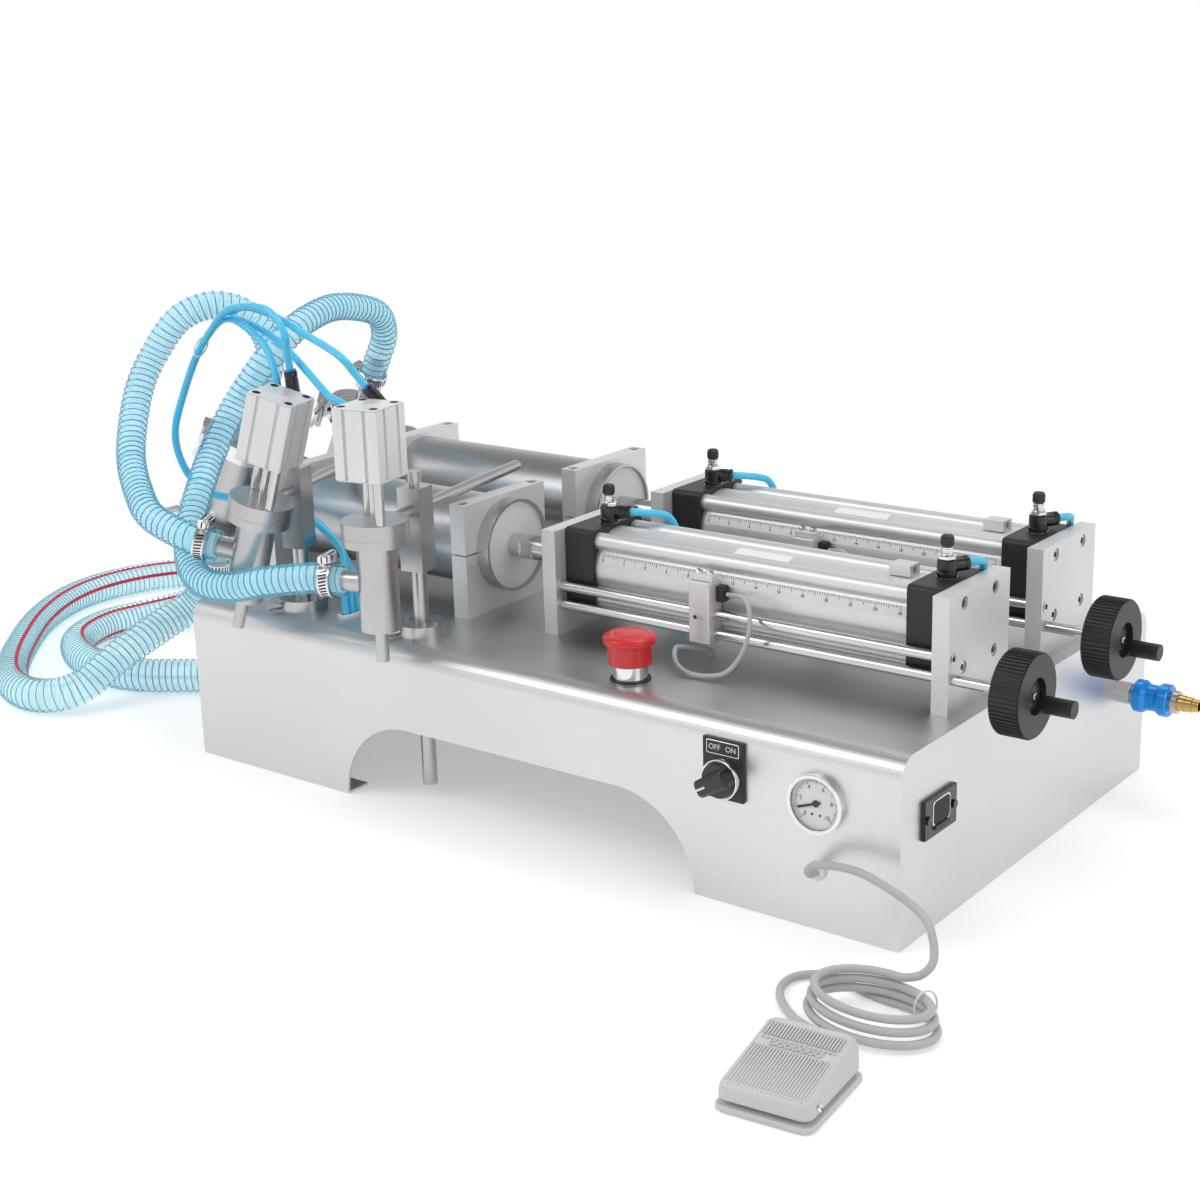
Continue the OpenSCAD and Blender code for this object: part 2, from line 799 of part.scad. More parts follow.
// A ribbed hose: low and high rings, and plain ends over seats seat_0 and seat_1 long.
module ribbed_hose(route, gap, d, seat_0, seat_1) {
  fine = smooth(route, hose_fine);
  l = lengths(fine);
  total = l[len(l) - 1];
  free = total - seat_0 - seat_1;
  ribs = floor((free - d / 2) / gap);
  first = seat_0 + (free - ribs * gap) / 2;
  low = d / 2 - rib_h;
  at = concat([0, seat_0], [for (k = [0 : ribs - 1]) each [first + k * gap, first + (k + 0.5) * gap]],
    [total - seat_1, total]);
  rr = concat([d / 2, d / 2], [for (k = [0 : ribs - 1]) each [low, d / 2]], [d / 2, d / 2]);
  step = gap > d / 2 ? 1 : 2;
  bore_at = concat([0, seat_0, seat_0 + d / 8], [for (k = [0 : step : ribs - 1]) first + (k + 0.5) * gap],
    [total - seat_1 - d / 8, total - seat_1, total]);
  echo(hose_length = total);
  hose([for (s = at) along(fine, l, s)], rr,
    [for (s = bore_at) along(fine, l, s)], d / 2 - hose_wall, hose_sides);
}

// Blue tubes from the flow controls down through the base's top.
air_drop_x0 = 44;
air_drop_x1 = 303;
air_drop_y = 42;
air_straight = 7;
drop_left = [[34, 23, -3], [38, 33, -8], [41, 39, -22], [43, 42, -50], [44, 42, -80], [44, 42, -98]];
drop_right = [[311, 30, -2], [308, 37, -8], [305, 41, -22], [303, 42, -50], [303, 42, -80], [303, 42, -98]];
function arm_end(x, turn, s) = [x + (fc_arm_l + s) * cos(turn), (fc_arm_l + s) * sin(turn), 0];
function arm_start(x, turn) = [arm_end(x, turn, 0), arm_end(x, turn, air_straight)];

module air_drop(route, n) {
  fine = smooth(route, n);
  swept(fine, [for (q = fine) air_tube_d / 2], hose_sides);
}

module cylinder_air_tubes() {
  color(air_blue)
    for (y = lines)
      translate([0, y, fc_z + fc_arm_up]) {
        air_drop(concat(arm_start(fc_x0, turn_left), drop_left), 2);
        air_drop(concat(arm_start(fc_x1, turn_right), drop_right), 2);
      }
}

// Panel fittings

collar_out_d = 26;
gasket_d = 30;
gasket_t = 1.5;
stop_neck_h = 12.5;
stop_stem_d = 15.5;
stop_skirt_d = 33;
stop_skirt_in = 27.4;
stop_skirt_h = 11;
stop_head_h = 12;
stop_press = 5;
contact_w = 30;
contact_h = 36;
nut_t = 5;

module estop_collar() {
  color("silver")
    translate([stop_x, stop_y, base_h])
      difference() {
        union() {
          cylinder(d = gasket_d, h = gasket_t);
          cylinder(d = collar_out_d, h = stop_neck_h);
          translate([0, 0, -sheet_t - nut_t]) cylinder(d = stop_hole_d - slip, h = sheet_t + nut_t + cut);
          translate([0, 0, -sheet_t - nut_t]) cylinder(d = gasket_d, h = nut_t);
          translate([0, 0, -sheet_t - nut_t - contact_h]) slab([contact_w, contact_w, contact_h]);
        }
        translate([0, 0, -sheet_t]) cylinder(d = stop_stem_d + 2 * run, h = 2 * stop_neck_h);
      }
}

// Stop button: its skirt slides over the collar.
module estop_button() {
  skirt_z = stop_neck_h + slip;
  head_z = skirt_z + stop_skirt_h;
  color("red")
    translate([stop_x, stop_y, base_h]) {
      translate([0, 0, stop_press]) cylinder(d = stop_stem_d, h = head_z - stop_press + cut);
      rotate_extrude()
        polygon([
          [0, head_z], [stop_skirt_in / 2, head_z], [stop_skirt_in / 2, skirt_z],
          [stop_skirt_d / 2 - cut, skirt_z], [stop_skirt_d / 2, head_z - cut],
          [stop_d / 2 - cut, head_z], [stop_d / 2, head_z + stop_head_h / 3],
          [stop_d / 2 - cut, head_z + stop_head_h * 2 / 3], [stop_d / 3, head_z + stop_head_h - cut],
          [stop_d / 4, head_z + stop_head_h], [0, head_z + stop_head_h]
        ]);
    }
}

legend_w = 33;
legend_h = 44;
legend_t = 3;
legend_up = 6;
bezel_d = 29;
bezel_t = 5;
knob_d = 22;
knob_t = 6;
blade_w = 9;
blade_l = 28;
blade_t = 12;
knob_turn = 30;
block_deep = 40;

module selector_plate() {
  color(dark)
    translate([selector_x, -base_w / 2, selector_z])
      rotate([90, 0, 0])
        difference() {
          union() {
            translate([-legend_w / 2, legend_up - legend_h / 2, 0]) cube([legend_w, legend_h, legend_t]);
            cylinder(d = bezel_d, h = legend_t + bezel_t);
            translate([0, 0, -block_deep]) cylinder(d = selector_hole_d - slip, h = block_deep + cut);
            translate([0, 0, -block_deep]) slab([contact_w, contact_w, block_deep - sheet_t - slip]);
          }
          translate([0, 0, legend_t]) cylinder(d = knob_d + 2 * slip, h = bezel_t + cut);
          translate([0, 0, -nut_t]) cylinder(d = knob_d / 2 + 2 * run, h = 2 * bezel_t + nut_t);
        }
}

module selector_knob() {
  color(dark)
    translate([selector_x, -base_w / 2, selector_z])
      rotate([90, 0, 0]) {
        translate([0, 0, slip - nut_t]) cylinder(d = knob_d / 2, h = legend_t + nut_t);
        translate([0, 0, legend_t + slip]) cylinder(d = knob_d, h = knob_t + cut);
        rotate([0, 0, knob_turn])
          translate([0, 0, legend_t + bezel_t + slip])
            slab([blade_l, blade_w, blade_t]);
      }
}

gauge_rim_w = 3;
gauge_rim_t = 5;
gauge_deep = 26;
gauge_dial_in = 3.2;
gauge_glass_t = 1;
needle_l = 15;
needle_w = 1.6;
needle_t = 0.6;
needle_hub_d = 5;
needle_pin_d = 1.6;
needle_up = 0.5;
gauge_stem_d = 12;
gauge_stem_l = 16;

module pressure_gauge() {
  color("gainsboro")
    translate([gauge_x, -base_w / 2, gauge_z])
      rotate([90, 0, 0])
        difference() {
          union() {
            cylinder(d = gauge_d, h = gauge_rim_t);
            translate([0, 0, -gauge_deep]) cylinder(d = gauge_hole_d - 2 * slip, h = gauge_deep + cut);
            translate([0, 0, -gauge_deep - gauge_stem_l])
              cylinder(d = gauge_stem_d, h = gauge_stem_l + cut);
          }
          translate([0, 0, gauge_rim_t - gauge_dial_in])
            cylinder(d = gauge_d - 2 * gauge_rim_w, h = gauge_dial_in + cut);
          translate([0, 0, gauge_rim_t - gauge_dial_in - 2 * needle_t])
            cylinder(d = needle_pin_d + 2 * run, h = 3 * needle_t);
        }
}

module gauge_needle() {
  needle_turn = 200;
  color(dark)
    translate([gauge_x, -base_w / 2, gauge_z])
      rotate([90, 0, 0])
        translate([0, 0, gauge_rim_t - gauge_dial_in + needle_up]) {
          cylinder(d = needle_hub_d, h = needle_t);
          translate([0, 0, -needle_up - needle_t]) cylinder(d = needle_pin_d, h = needle_up + 2 * needle_t);
          rotate([0, 0, needle_turn])
            translate([-needle_l / 4, -needle_w / 2, 0])
              cube([needle_l + needle_l / 4, needle_w, needle_t]);
        }
}

module gauge_glass() {
  color([0.9, 0.95, 1])
    translate([gauge_x, -base_w / 2, gauge_z])
      rotate([90, 0, 0])
        translate([0, 0, gauge_rim_t - gauge_glass_t])
          cylinder(d = gauge_d - 2 * gauge_rim_w, h = gauge_glass_t);
}

inlet_flange_t = 3;
inlet_screw_gap = 36;
inlet_screw_d = 3;
inlet_deep = 24;
socket_w = 22;
socket_h = 15;
socket_deep = 15;
socket_up = 2;

module power_inlet() {
  color(dark)
    translate([base_l / 2, inlet_y, inlet_z])
      difference() {
        union() {
          translate([0, -inlet_w / 2, -inlet_tall / 2 - legend_t])
            cube([inlet_flange_t, inlet_w, inlet_tall + 2 * legend_t]);
          translate([-inlet_deep, slip - inlet_hole_w / 2, slip - inlet_tall / 2])
            cube([inlet_deep + cut, inlet_hole_w - 2 * slip, inlet_tall - 2 * slip]);
          for (s = [-1, 1]) translate([inlet_flange_t, s * inlet_screw_gap / 2, 0])
            rotate([0, 90, 0]) cylinder(d = 2 * inlet_screw_d, h = inlet_screw_d / 2);
        }
        translate([inlet_flange_t - socket_deep, -socket_w / 2, socket_up - socket_h / 2])
          cube([socket_deep + cut, socket_w, socket_h]);
      }
}

inlet_nut_d = 18;
inlet_nut_t = 12;
inlet_pipe_d = 13;
sleeve_d = 26;
sleeve_waist_d = 21;
sleeve_l = 28;
inlet_pipe_l = 50;
end_ring_d = 18;
end_ring_t = 4;
brass_d = 12;
brass_l = 11;
collet_d = 10;
collet_l = 5;
collet_bore = 8;

module air_inlet() {
  color(steel)
    translate([base_l / 2, air_in_y, air_in_z])
      rotate([0, 90, 0])
        difference() {
          union() {
            translate([0, 0, -inlet_nut_t - sheet_t]) cylinder(d = inlet_nut_d, h = inlet_nut_t, $fn = 6);
            translate([0, 0, -inlet_nut_t]) cylinder(d = inlet_pipe_d, h = inlet_nut_t + cut);
            cylinder(d = inlet_nut_d, h = inlet_nut_t, $fn = 6);
            cylinder(d = inlet_pipe_d, h = inlet_pipe_l);
            translate([0, 0, inlet_pipe_l - end_ring_t]) cylinder(d = end_ring_d, h = end_ring_t);
          }
          translate([0, 0, -inlet_nut_t - sheet_t - cut])
            cylinder(d = collet_bore, h = inlet_pipe_l + inlet_nut_t + sheet_t + 2 * cut);
        }
}

module slide_sleeve() {
  waist = sleeve_waist_d / 2;
  big = sleeve_d / 2;
  bevel = sleeve_l / 8;
  color("deepskyblue")
    translate([base_l / 2 + inlet_nut_t + sleeve_travel / 2 + slip, air_in_y, air_in_z])
      rotate([0, 90, 0])
        rotate_extrude()
          polygon([
            [inlet_pipe_d / 2 + run, 0], [big - cut, 0], [big, cut], [big, 2 * bevel],
            [waist, 3 * bevel], [waist, 5 * bevel], [big, 6 * bevel], [big, sleeve_l - cut],
            [big - cut, sleeve_l], [inlet_pipe_d / 2 + run, sleeve_l]
          ]);
}

module push_in_fitting() {
  color("goldenrod")
    translate([base_l / 2 + inlet_pipe_l, air_in_y, air_in_z])
      rotate([0, 90, 0])
        difference() {
          union() {
            cylinder(d = inlet_pipe_d, h = brass_l / 2);
            cylinder(d = brass_d, h = brass_l);
            cylinder(d = collet_d, h = brass_l + collet_l);
          }
          translate([0, 0, -cut]) cylinder(d = collet_bore, h = brass_l + collet_l + 2 * cut);
        }
}

grommet_d = 14;
grommet_t = 2;

module cable_grommet() {
  color("white") {
    translate([grommet_x, -base_w / 2, grommet_z])
      rotate([90, 0, 0])
        difference() {
          union() {
            cylinder(d = grommet_d, h = grommet_t);
            translate([0, 0, -sheet_t - grommet_t])
              cylinder(d = grommet_hole_d, h = sheet_t + 2 * grommet_t);
          }
          translate([0, 0, -sheet_t - 2 * grommet_t])
            cylinder(d = foot_cable_d + 2 * run, h = sheet_t + 4 * grommet_t);
        }
    translate([bundle_x, bundle_y, base_h])
      difference() {
        union() {
          slot_bar(bundle_slot_w + 2 * grommet_t, bundle_slot_l + 2 * grommet_t, grommet_t);
          translate([0, 0, -sheet_t - grommet_t])
            slot_bar(bundle_slot_w, bundle_slot_l, sheet_t + 2 * grommet_t);
        }
        translate([0, 0, -sheet_t - 2 * grommet_t])
          slot_bar(bundle_slot_w - grommet_t, bundle_slot_l - grommet_t, sheet_t + 4 * grommet_t);
      }
  }
}

manifold_x = 25;
manifold_y = 60;
manifold_l = 150;
manifold_w = 46;
manifold_h = 24;
coil_count = 4;
coil_l = 26;
coil_w = 22;
coil_h = 34;

// Solenoid valve block that hangs under the base's top.
module valve_manifold() {
  top = base_h - sheet_t;
  color(alu)
    translate([manifold_x, manifold_y, top - manifold_h]) {
      slab([manifold_l, manifold_w, manifold_h]);
      for (k = [0 : coil_count - 1])
        translate([(k + 0.5) * manifold_l / coil_count - manifold_l / 2, 0, -coil_h])
          slab([coil_l, coil_w, coil_h]);
    }
}

// Volume setting

hub_d = 26;
hub_h = 9;
rim_w = 8;
web_t = 12;
boss_d = 14;
grip_at_y = 15.5;
grip_at_z = -10.5;
lead_back = 2;
lead_end_x = plate_x0 + lead_back;

// Lead screw: runs in both plates and carries the handwheel.
module lead_screw(i) {
  color(steel)
    translate([lead_end_x, line_y + i * line_gap - guide_out, axis_z - lead_down])
      rotate([0, 90, 0]) cylinder(d = guide_d, h = wheel_x - wheel_t / 2 - lead_end_x);
}

module lead_screw_a() {
  lead_screw(0);
}
module lead_screw_b() {
  lead_screw(1);
}

rib_count = 60;
rib_d = 2.2;

module handwheel(i) {
  color(dark)
    translate([wheel_x - wheel_t, line_y + i * line_gap - guide_out, axis_z - lead_down]) {
      rotate([0, 90, 0])
        difference() {
          union() {
            cylinder(d = wheel_d - rib_d, h = wheel_t);
            for (k = [0 : rib_count - 1])
              rotate([0, 0, 360 * k / rib_count])
                translate([(wheel_d - rib_d) / 2, 0, cut])
                  cylinder(d = rib_d, h = wheel_t - 2 * cut, $fn = 6);
          }
          translate([0, 0, wheel_t - hub_h]) cylinder(d = hub_d, h = hub_h + cut);
          translate([0, 0, -cut])
            difference() {
              cylinder(d = wheel_d - 2 * rim_w, h = wheel_t - web_t + cut);
              translate([0, 0, -cut]) cylinder(d = boss_d, h = wheel_t);
            }
          translate([0, 0, -cut]) cylinder(d = guide_d, h = wheel_t / 2 + cut);
        }
      translate([wheel_t, grip_at_y, grip_at_z]) rotate([0, 90, 0]) cylinder(d = grip_d, h = grip_l);
    }
}

module handwheel_a() {
  handwheel(0);
}
module handwheel_b() {
  handwheel(1);
}

bracket_low = 7;
top_strap_t = 5;
top_strap_w = 9;
sensor_w = 7;
sensor_t = 8;
sensor_h = 12;
sensor_z = 186;
sensor_screw_d = 3;
sensor_screw_gap = 10;

// Bracket that rides on the guide rod and the lead screw, with its reed switch on top.
module sensor_bracket(i) {
  y0 = line_y + i * line_gap - guide_out - bracket_t / 2;
  z0 = axis_z - lead_down - bracket_low;
  color(alu)
    difference() {
      translate([bracket_x - bracket_w / 2, y0 - slip, z0])
        cube([bracket_w, bracket_t, bracket_h]);
      for (d = [guide_down, lead_down])
        translate([bracket_x - bracket_w, y0 + bracket_t / 2, axis_z - d])
          rotate([0, 90, 0]) cylinder(d = guide_d + 2 * run, h = 2 * bracket_w);
    }
  color(dark)
    translate([bracket_x + bracket_w / 2, y0 + bracket_t - sensor_t - slip, sensor_z])
      cube([sensor_w, sensor_t, sensor_h]);
  color(steel) {
    for (k = [0, 1])
      translate([bracket_x + (k - 0.5) * sensor_screw_gap, y0 + bracket_t / 2,
        z0 + bracket_h + top_strap_t])
        cylinder(d = 2 * sensor_screw_d, h = sensor_screw_d);
    translate([bracket_x, y0 + bracket_t / 2, z0 + bracket_h])
      slab([bracket_w, top_strap_w, top_strap_t]);
    translate([bracket_x, y0 - slip, axis_z - guide_down])
      rotate([90, 0, 0]) cylinder(d = set_screw_d, h = set_screw_l);
  }
}

module sensor_bracket_a() {
  sensor_bracket(0);
}
module sensor_bracket_b() {
  sensor_bracket(1);
}

// Sensor cable: out of the switch, down in a loop and into the base's top.
sensor_hole_x = 114;
sensor_hole_y = -21;
sensor_route = [[144, -37, 193], [153, -40, 194], [163, -46, 190], [168, -52, 176], [166, -59, 158],
  [157, -66, 144], [143, -71, 140], [127, -72, 140], [113, -67, 144], [106, -58, 151], [106, -49, 150],
  [109, -39, 147], [113, -29, 144], [114, -22, 141], [114, -21, 136]];

module sensor_cables() {
  color("gray")
    for (y = lines)
      translate([0, y, 0]) {
        start = [bracket_x + bracket_w / 2 + sensor_w + slip,
          -guide_out + bracket_t / 2 - sensor_t / 2 - 2 * slip, sensor_z + sensor_h / 2];
        fine = smooth(concat([start, start + [sensor_cable_d, 0, 0]], sensor_route), 2);
        swept(fine, [for (q = fine) sensor_cable_d / 2], hose_sides);
      }
}

// Nozzle stands

side_screw_d = 6;
side_screw_l = 12;
collar_screw_d = 3;
collar_screw_out = 14;

module stand_collars() {
  color(steel)
    for (x = [stand_xa, stand_xb])
      translate([x, stand_y, base_h]) {
        ring(collar_d, post_d + 2 * run, collar_h);
        rotate([0, 0, -115]) translate([collar_d / 2, 0, collar_h / 2]) rotate([0, 90, 0])
          cylinder(d = side_screw_d, h = side_screw_l);
        for (s = [-1, 1])
          translate([s * collar_screw_out, 0, collar_h])
            cylinder(d = 2 * collar_screw_d, h = collar_screw_d / 2);
      }
}

module on_stand(k) {
  translate([k == 0 ? stand_xa : stand_xb, stand_y, base_h])
    rotate([0, 0, k == 0 ? turn_a : turn_b])
      children();
}

block_over = 18;
block_screw_d = 8;

module stand_post(k) {
  block_z = arm_h + block_over - block_h;
  color(steel)
    on_stand(k) {
      translate([0, 0, post_z - base_h]) cylinder(d = post_d, h = post_l);
      difference() {
        translate([0, 0, block_z]) slab([block_w, block_w, block_h]);
        translate([0, 0, block_z - cut]) cylinder(d = post_d, h = post_l - base_h + post_z - block_z + cut);
        translate([0, block_w, arm_h]) rotate([90, 0, 0]) cylinder(d = arm_d + 2 * run, h = 2 * block_w);
      }
      translate([0, 0, block_z + block_h]) {
        cylinder(d = block_screw_d, h = block_screw_d / 2);
        translate([0, 0, block_screw_d / 2]) cylinder(d = 1.5 * block_screw_d, h = block_screw_d);
      }
    }
}

module stand_post_a() {
  stand_post(0);
}
module stand_post_b() {
  stand_post(1);
}

// Moves to the nozzle valve's axis, with Z zero on the arm's axis.
module on_valve(k) {
  on_stand(k)
    translate([0, -arm_reach, arm_h])
      rotate([0, k == 0 ? 0 : lean_b, 0])
        children();
}

function tee_pt(i, s) = [tee_x, line_y + i * line_gap, axis_z + tee_up]
  + s * [sin(tee_lean), 0, cos(tee_lean)];
function turn_z(v, a) = [v[0] * cos(a) - v[1] * sin(a), v[0] * sin(a) + v[1] * cos(a), v[2]];
function turn_y(v, a) = [v[0] * cos(a) + v[2] * sin(a), v[1], v[2] * cos(a) - v[0] * sin(a)];
function valve_pt(k, p) = [k == 0 ? stand_xa : stand_xb, stand_y, base_h]
  + turn_z([0, -arm_reach, arm_h] + turn_y(p, k == 0 ? 0 : lean_b), k == 0 ? turn_a : turn_b);

bonnet_up = 5;
port_down = 45;
port_turn_a = 188;
port_turn_b = 190;
barb_d = 16.2;
barb_bore = 12;
barb_l = 44;
hose_start = 28;
hose_clamp_w = 10;
hose_clamp_t = 1.2;
hose_clamp_at = 41;
worm_d = 8;
worm_l = 12;
valve_top = bonnet_up - bonnet_t - seat_t;
ferrule_z = valve_top - valve_l;
nozzle_z = ferrule_z - ferrule_l;

// Worm-drive clamp round a hose whose axis is Z.
module hose_clamp(d) {
  r = d / 2 + slip;
  ring(2 * r + 2 * hose_clamp_t, 2 * r, hose_clamp_w);
  translate([r + hose_clamp_t - slip, -worm_l / 2, hose_clamp_w / 2])
    translate([worm_d / 2, 0, 0]) rotate([-90, 0, 0]) cylinder(d = worm_d, h = worm_l);
}

// Valve body with its flanges, hose port and nozzle; the arm and the hose's clamp are solids beside it.
module nozzle_body(k) {
  turn = k == 0 ? port_turn_a : port_turn_b;
  color(steel)
    on_valve(k) {
      difference() {
        union() {
          translate([0, 0, bonnet_up - bonnet_t]) cylinder(d = bonnet_d, h = bonnet_t);
          translate([0, 0, valve_top]) cylinder(d = bonnet_d, h = seat_t - slip);
          translate([0, 0, valve_top]) cylinder(d = bonnet_d - 2 * slip, h = seat_t + slip);
          translate([0, 0, nozzle_z]) cylinder(d = valve_d, h = valve_l + ferrule_l + cut);
          translate([0, 0, nozzle_z - nozzle_l]) cylinder(d = nozzle_d, h = nozzle_l + cut);
          rotate([0, 0, turn]) translate([0, 0, -port_down]) rotate([0, 90, 0])
            cylinder(d = barb_d, h = barb_l);
        }
        translate([0, 0, ferrule_z]) cylinder(d = valve_d - 2 * valve_wall, h = valve_l + seat_t + cut);
        translate([0, 0, nozzle_z - nozzle_l - cut])
          cylinder(d = nozzle_d - 2 * nozzle_wall, h = nozzle_l + ferrule_l + 3 * cut);
        translate([0, 0, ferrule_z]) cylinder(d = stem_d + 2 * run, h = 2 * valve_l);
        rotate([0, 0, turn]) translate([0, 0, -port_down]) rotate([0, 90, 0])
          cylinder(d = barb_bore, h = barb_l + cut);
      }
      rotate([0, 0, turn]) translate([hose_clamp_at - hose_clamp_w / 2, 0, -port_down])
        rotate([0, 90, 0]) rotate([0, 0, 180]) hose_clamp(hose_d);
    }
  color(steel)
    on_stand(k)
      translate([0, -arm_reach + bonnet_d / 2, arm_h])
        rotate([-90, 0, 0]) cylinder(d = arm_d, h = arm_reach + arm_back - bonnet_d / 2);
}

module nozzle_body_a() {
  nozzle_body(0);
}
module nozzle_body_b() {
  nozzle_body(1);
}

pillar_out = 15;
act_z = bonnet_up + pillar_l;
act_wall = 6;
groove_w = 3.2;
groove_deep = 2.4;
groove_out = 9;
elbow_d = 11;
elbow_l = 11;
elbow_arm_l = 24;
elbow_low = 10;
elbow_high = 46;
elbow_leans = [-45, -22];

// Actuator body: a grooved square section with its bore, on two pillars.
module actuator(k) {
  on_valve(k) {
    color("white")
      translate([0, 0, act_z])
        difference() {
          linear_extrude(act_h)
            difference() {
              square(act_w, center = true);
              for (q = [0 : 3])
                rotate(90 * q)
                  for (s = [-1, 1])
                    translate([act_w / 2 - groove_deep, s * groove_out - groove_w / 2])
                      square([groove_deep + cut, groove_w]);
            }
          translate([0, 0, act_wall]) cylinder(d = act_bore, h = act_h - 2 * act_wall);
          translate([0, 0, -cut]) cylinder(d = stem_d + 2 * run, h = 2 * act_wall);
        }
    color(steel)
      for (s = [-1, 1])
        translate([s * pillar_out, -s * pillar_out, bonnet_up]) cylinder(d = pillar_d, h = pillar_l);
    color(dark)
      for (z = [elbow_low, elbow_high])
        translate([0, act_w / 2, act_z + z]) {
          rotate([-90, 0, 0]) cylinder(d = elbow_d, h = elbow_l);
          translate([0, elbow_l / 2, 0]) rotate([0, elbow_leans[k], 0])
            cylinder(d = elbow_d - slip, h = elbow_arm_l);
        }
  }
}

module actuator_a() {
  actuator(0);
}
module actuator_b() {
  actuator(1);
}

spring_room = 24;
stem_piston_t = act_h - 2 * act_wall - stem_travel - spring_room;
plug_d = 14;
plug_h = 5;

// Stem with its sealing plug at the bottom and its piston at the top; at rest the valve is shut.
module nozzle_stem(k) {
  color(steel)
    on_valve(k) {
      translate([0, 0, ferrule_z + slip]) cylinder(d = plug_d, h = plug_h);
      translate([0, 0, ferrule_z + slip])
        cylinder(d = stem_d, h = act_z + act_wall - ferrule_z + stem_piston_t);
      translate([0, 0, act_z + act_wall + slip]) cylinder(d = act_bore - 2 * run, h = stem_piston_t);
    }
}

module nozzle_stem_a() {
  nozzle_stem(0);
}
module nozzle_stem_b() {
  nozzle_stem(1);
}

// Check valves at the left end

clamp_flange_t = 6;
check_bore = 24;
tip_l = 52;
tip_slip = 1.4;
tip_bore = 12;
cone_l = 8;
hose_on_tip = 24;
clamp_on_tip = 36;
ball_d = 18;
seat_ring_z = 14;
seat_ring_t = 4;
ball_lift = 7.2;

module on_tee(i) {
  translate([tee_x, line_y + i * line_gap, axis_z + tee_up])
    rotate([0, tee_lean, 0])
      children();
}

// Hose tip with its clamped flange, pointing along Z.
module hose_tip(d) {
  difference() {
    union() {
      cylinder(d = clamp_in_d, h = clamp_flange_t);
      translate([0, 0, clamp_flange_t])
        rotate_extrude()
          polygon([[0, 0], [tee_d / 2, 0], [d / 2, cone_l], [0, cone_l]]);
      cylinder(d = d, h = clamp_flange_t + tip_l);
    }
    translate([0, 0, -cut]) cylinder(d = tip_bore, h = clamp_flange_t + tip_l + 2 * cut);
  }
}

module valve_tees() {
  color(steel)
    for (i = [0 : line_count - 1]) {
      difference() {
        union() {
          on_tee(i) {
            translate([0, 0, -tee_half]) cylinder(d = tee_d, h = 2 * tee_half);
            for (s = [-1, 1])
              translate([0, 0, s * (tee_half - clamp_flange_t / 2) - clamp_flange_t / 2])
                cylinder(d = clamp_in_d, h = clamp_flange_t);
          }
          translate([tee_x, line_y + i * line_gap, axis_z]) rotate([0, 90, 0])
            cylinder(d = stub_d, h = tube_x0 - flange_t - tee_x);
        }
        on_tee(i) {
          translate([0, 0, -tee_half - cut]) cylinder(d = tip_bore, h = 2 * (tee_half + cut));
          translate([0, 0, -tee_half - cut]) cylinder(d = check_bore, h = tee_half + cut + seat_ring_z);
          translate([0, 0, seat_ring_z + seat_ring_t])
            cylinder(d = check_bore, h = tee_half + cut - seat_ring_z - seat_ring_t);
        }
        translate([tee_x, line_y + i * line_gap, axis_z]) rotate([0, 90, 0])
          cylinder(d = stub_d - 2 * tube_wall, h = tube_x0 - tee_x);
      }
      on_tee(i) {
        translate([0, 0, tee_half]) hose_tip(hose_d - 2 * (hose_wall + tip_slip));
        rotate([180, 0, 0]) translate([0, 0, tee_half])
          hose_tip(suction_d - 2 * (hose_wall + tip_slip));
        for (z = [-tee_half, seat_ring_z + seat_ring_t])
          translate([0, 0, z + ball_lift]) sphere(d = ball_d);
      }
    }
}

clamp_out_d = 62;
wing_bolt_d = 6;
wing_bolt_l = 34;
wing_nut_d = 13;
wing_nut_h = 11;
wing_w = 34;
wing_t = 4;
wing_turn = 70;
ear_w = 16;
ear_l = 10;

// Two-part pipe clamp round Z with its hinge, its bolt and its wing nut.
module pipe_clamp() {
  ear = clamp_out_d / 2 + ear_l / 2;
  difference() {
    union() {
      translate([0, 0, -clamp_w / 2]) cylinder(d = clamp_out_d, h = clamp_w);
      for (s = [-1, 1]) translate([s * ear, 0, -clamp_w / 2]) slab([ear_l + 2 * cut, ear_w, clamp_w]);
    }
    translate([0, 0, -clamp_w]) cylinder(d = clamp_in_d + 2 * slip, h = 2 * clamp_w);
    translate([-clamp_out_d, -slip, -clamp_w]) cube([clamp_out_d, 2 * slip, 2 * clamp_w]);
  }
  translate([-ear, 0, 0]) {
    translate([0, ear_w / 2 - cut, 0]) rotate([90, 0, 0])
      cylinder(d = wing_bolt_d, h = wing_bolt_l + ear_w);
  }
}

module wing_nut() {
  cylinder(d = wing_nut_d, h = wing_nut_h);
  for (s = [-1, 1])
    translate([s * wing_w / 4, 0, wing_nut_h / 2])
      slab([wing_w / 2, wing_t, wing_nut_h]);
}

clamp_turn_high = 40;
clamp_turn_low = 0;

module pipe_clamps() {
  ear = clamp_out_d / 2 + ear_l / 2;
  color(steel)
    for (i = [0 : line_count - 1], s = [-1, 1])
      on_tee(i)
        translate([0, 0, s * tee_half])
          rotate([0, 0, s > 0 ? clamp_turn_high : clamp_turn_low]) {
            pipe_clamp();
            translate([-ear, -ear_w / 2, 0]) rotate([90, 0, 0]) rotate([0, 0, wing_turn])
              wing_nut();
          }
}

module hose_clamps() {
  color(steel)
    for (i = [0 : line_count - 1], s = [-1, 1])
      on_tee(i)
        rotate([s > 0 ? 0 : 180, 0, 0])
          translate([0, 0, tee_half + clamp_flange_t + clamp_on_tip])
            rotate([0, 0, 200]) hose_clamp(s > 0 ? hose_d : suction_d);
}

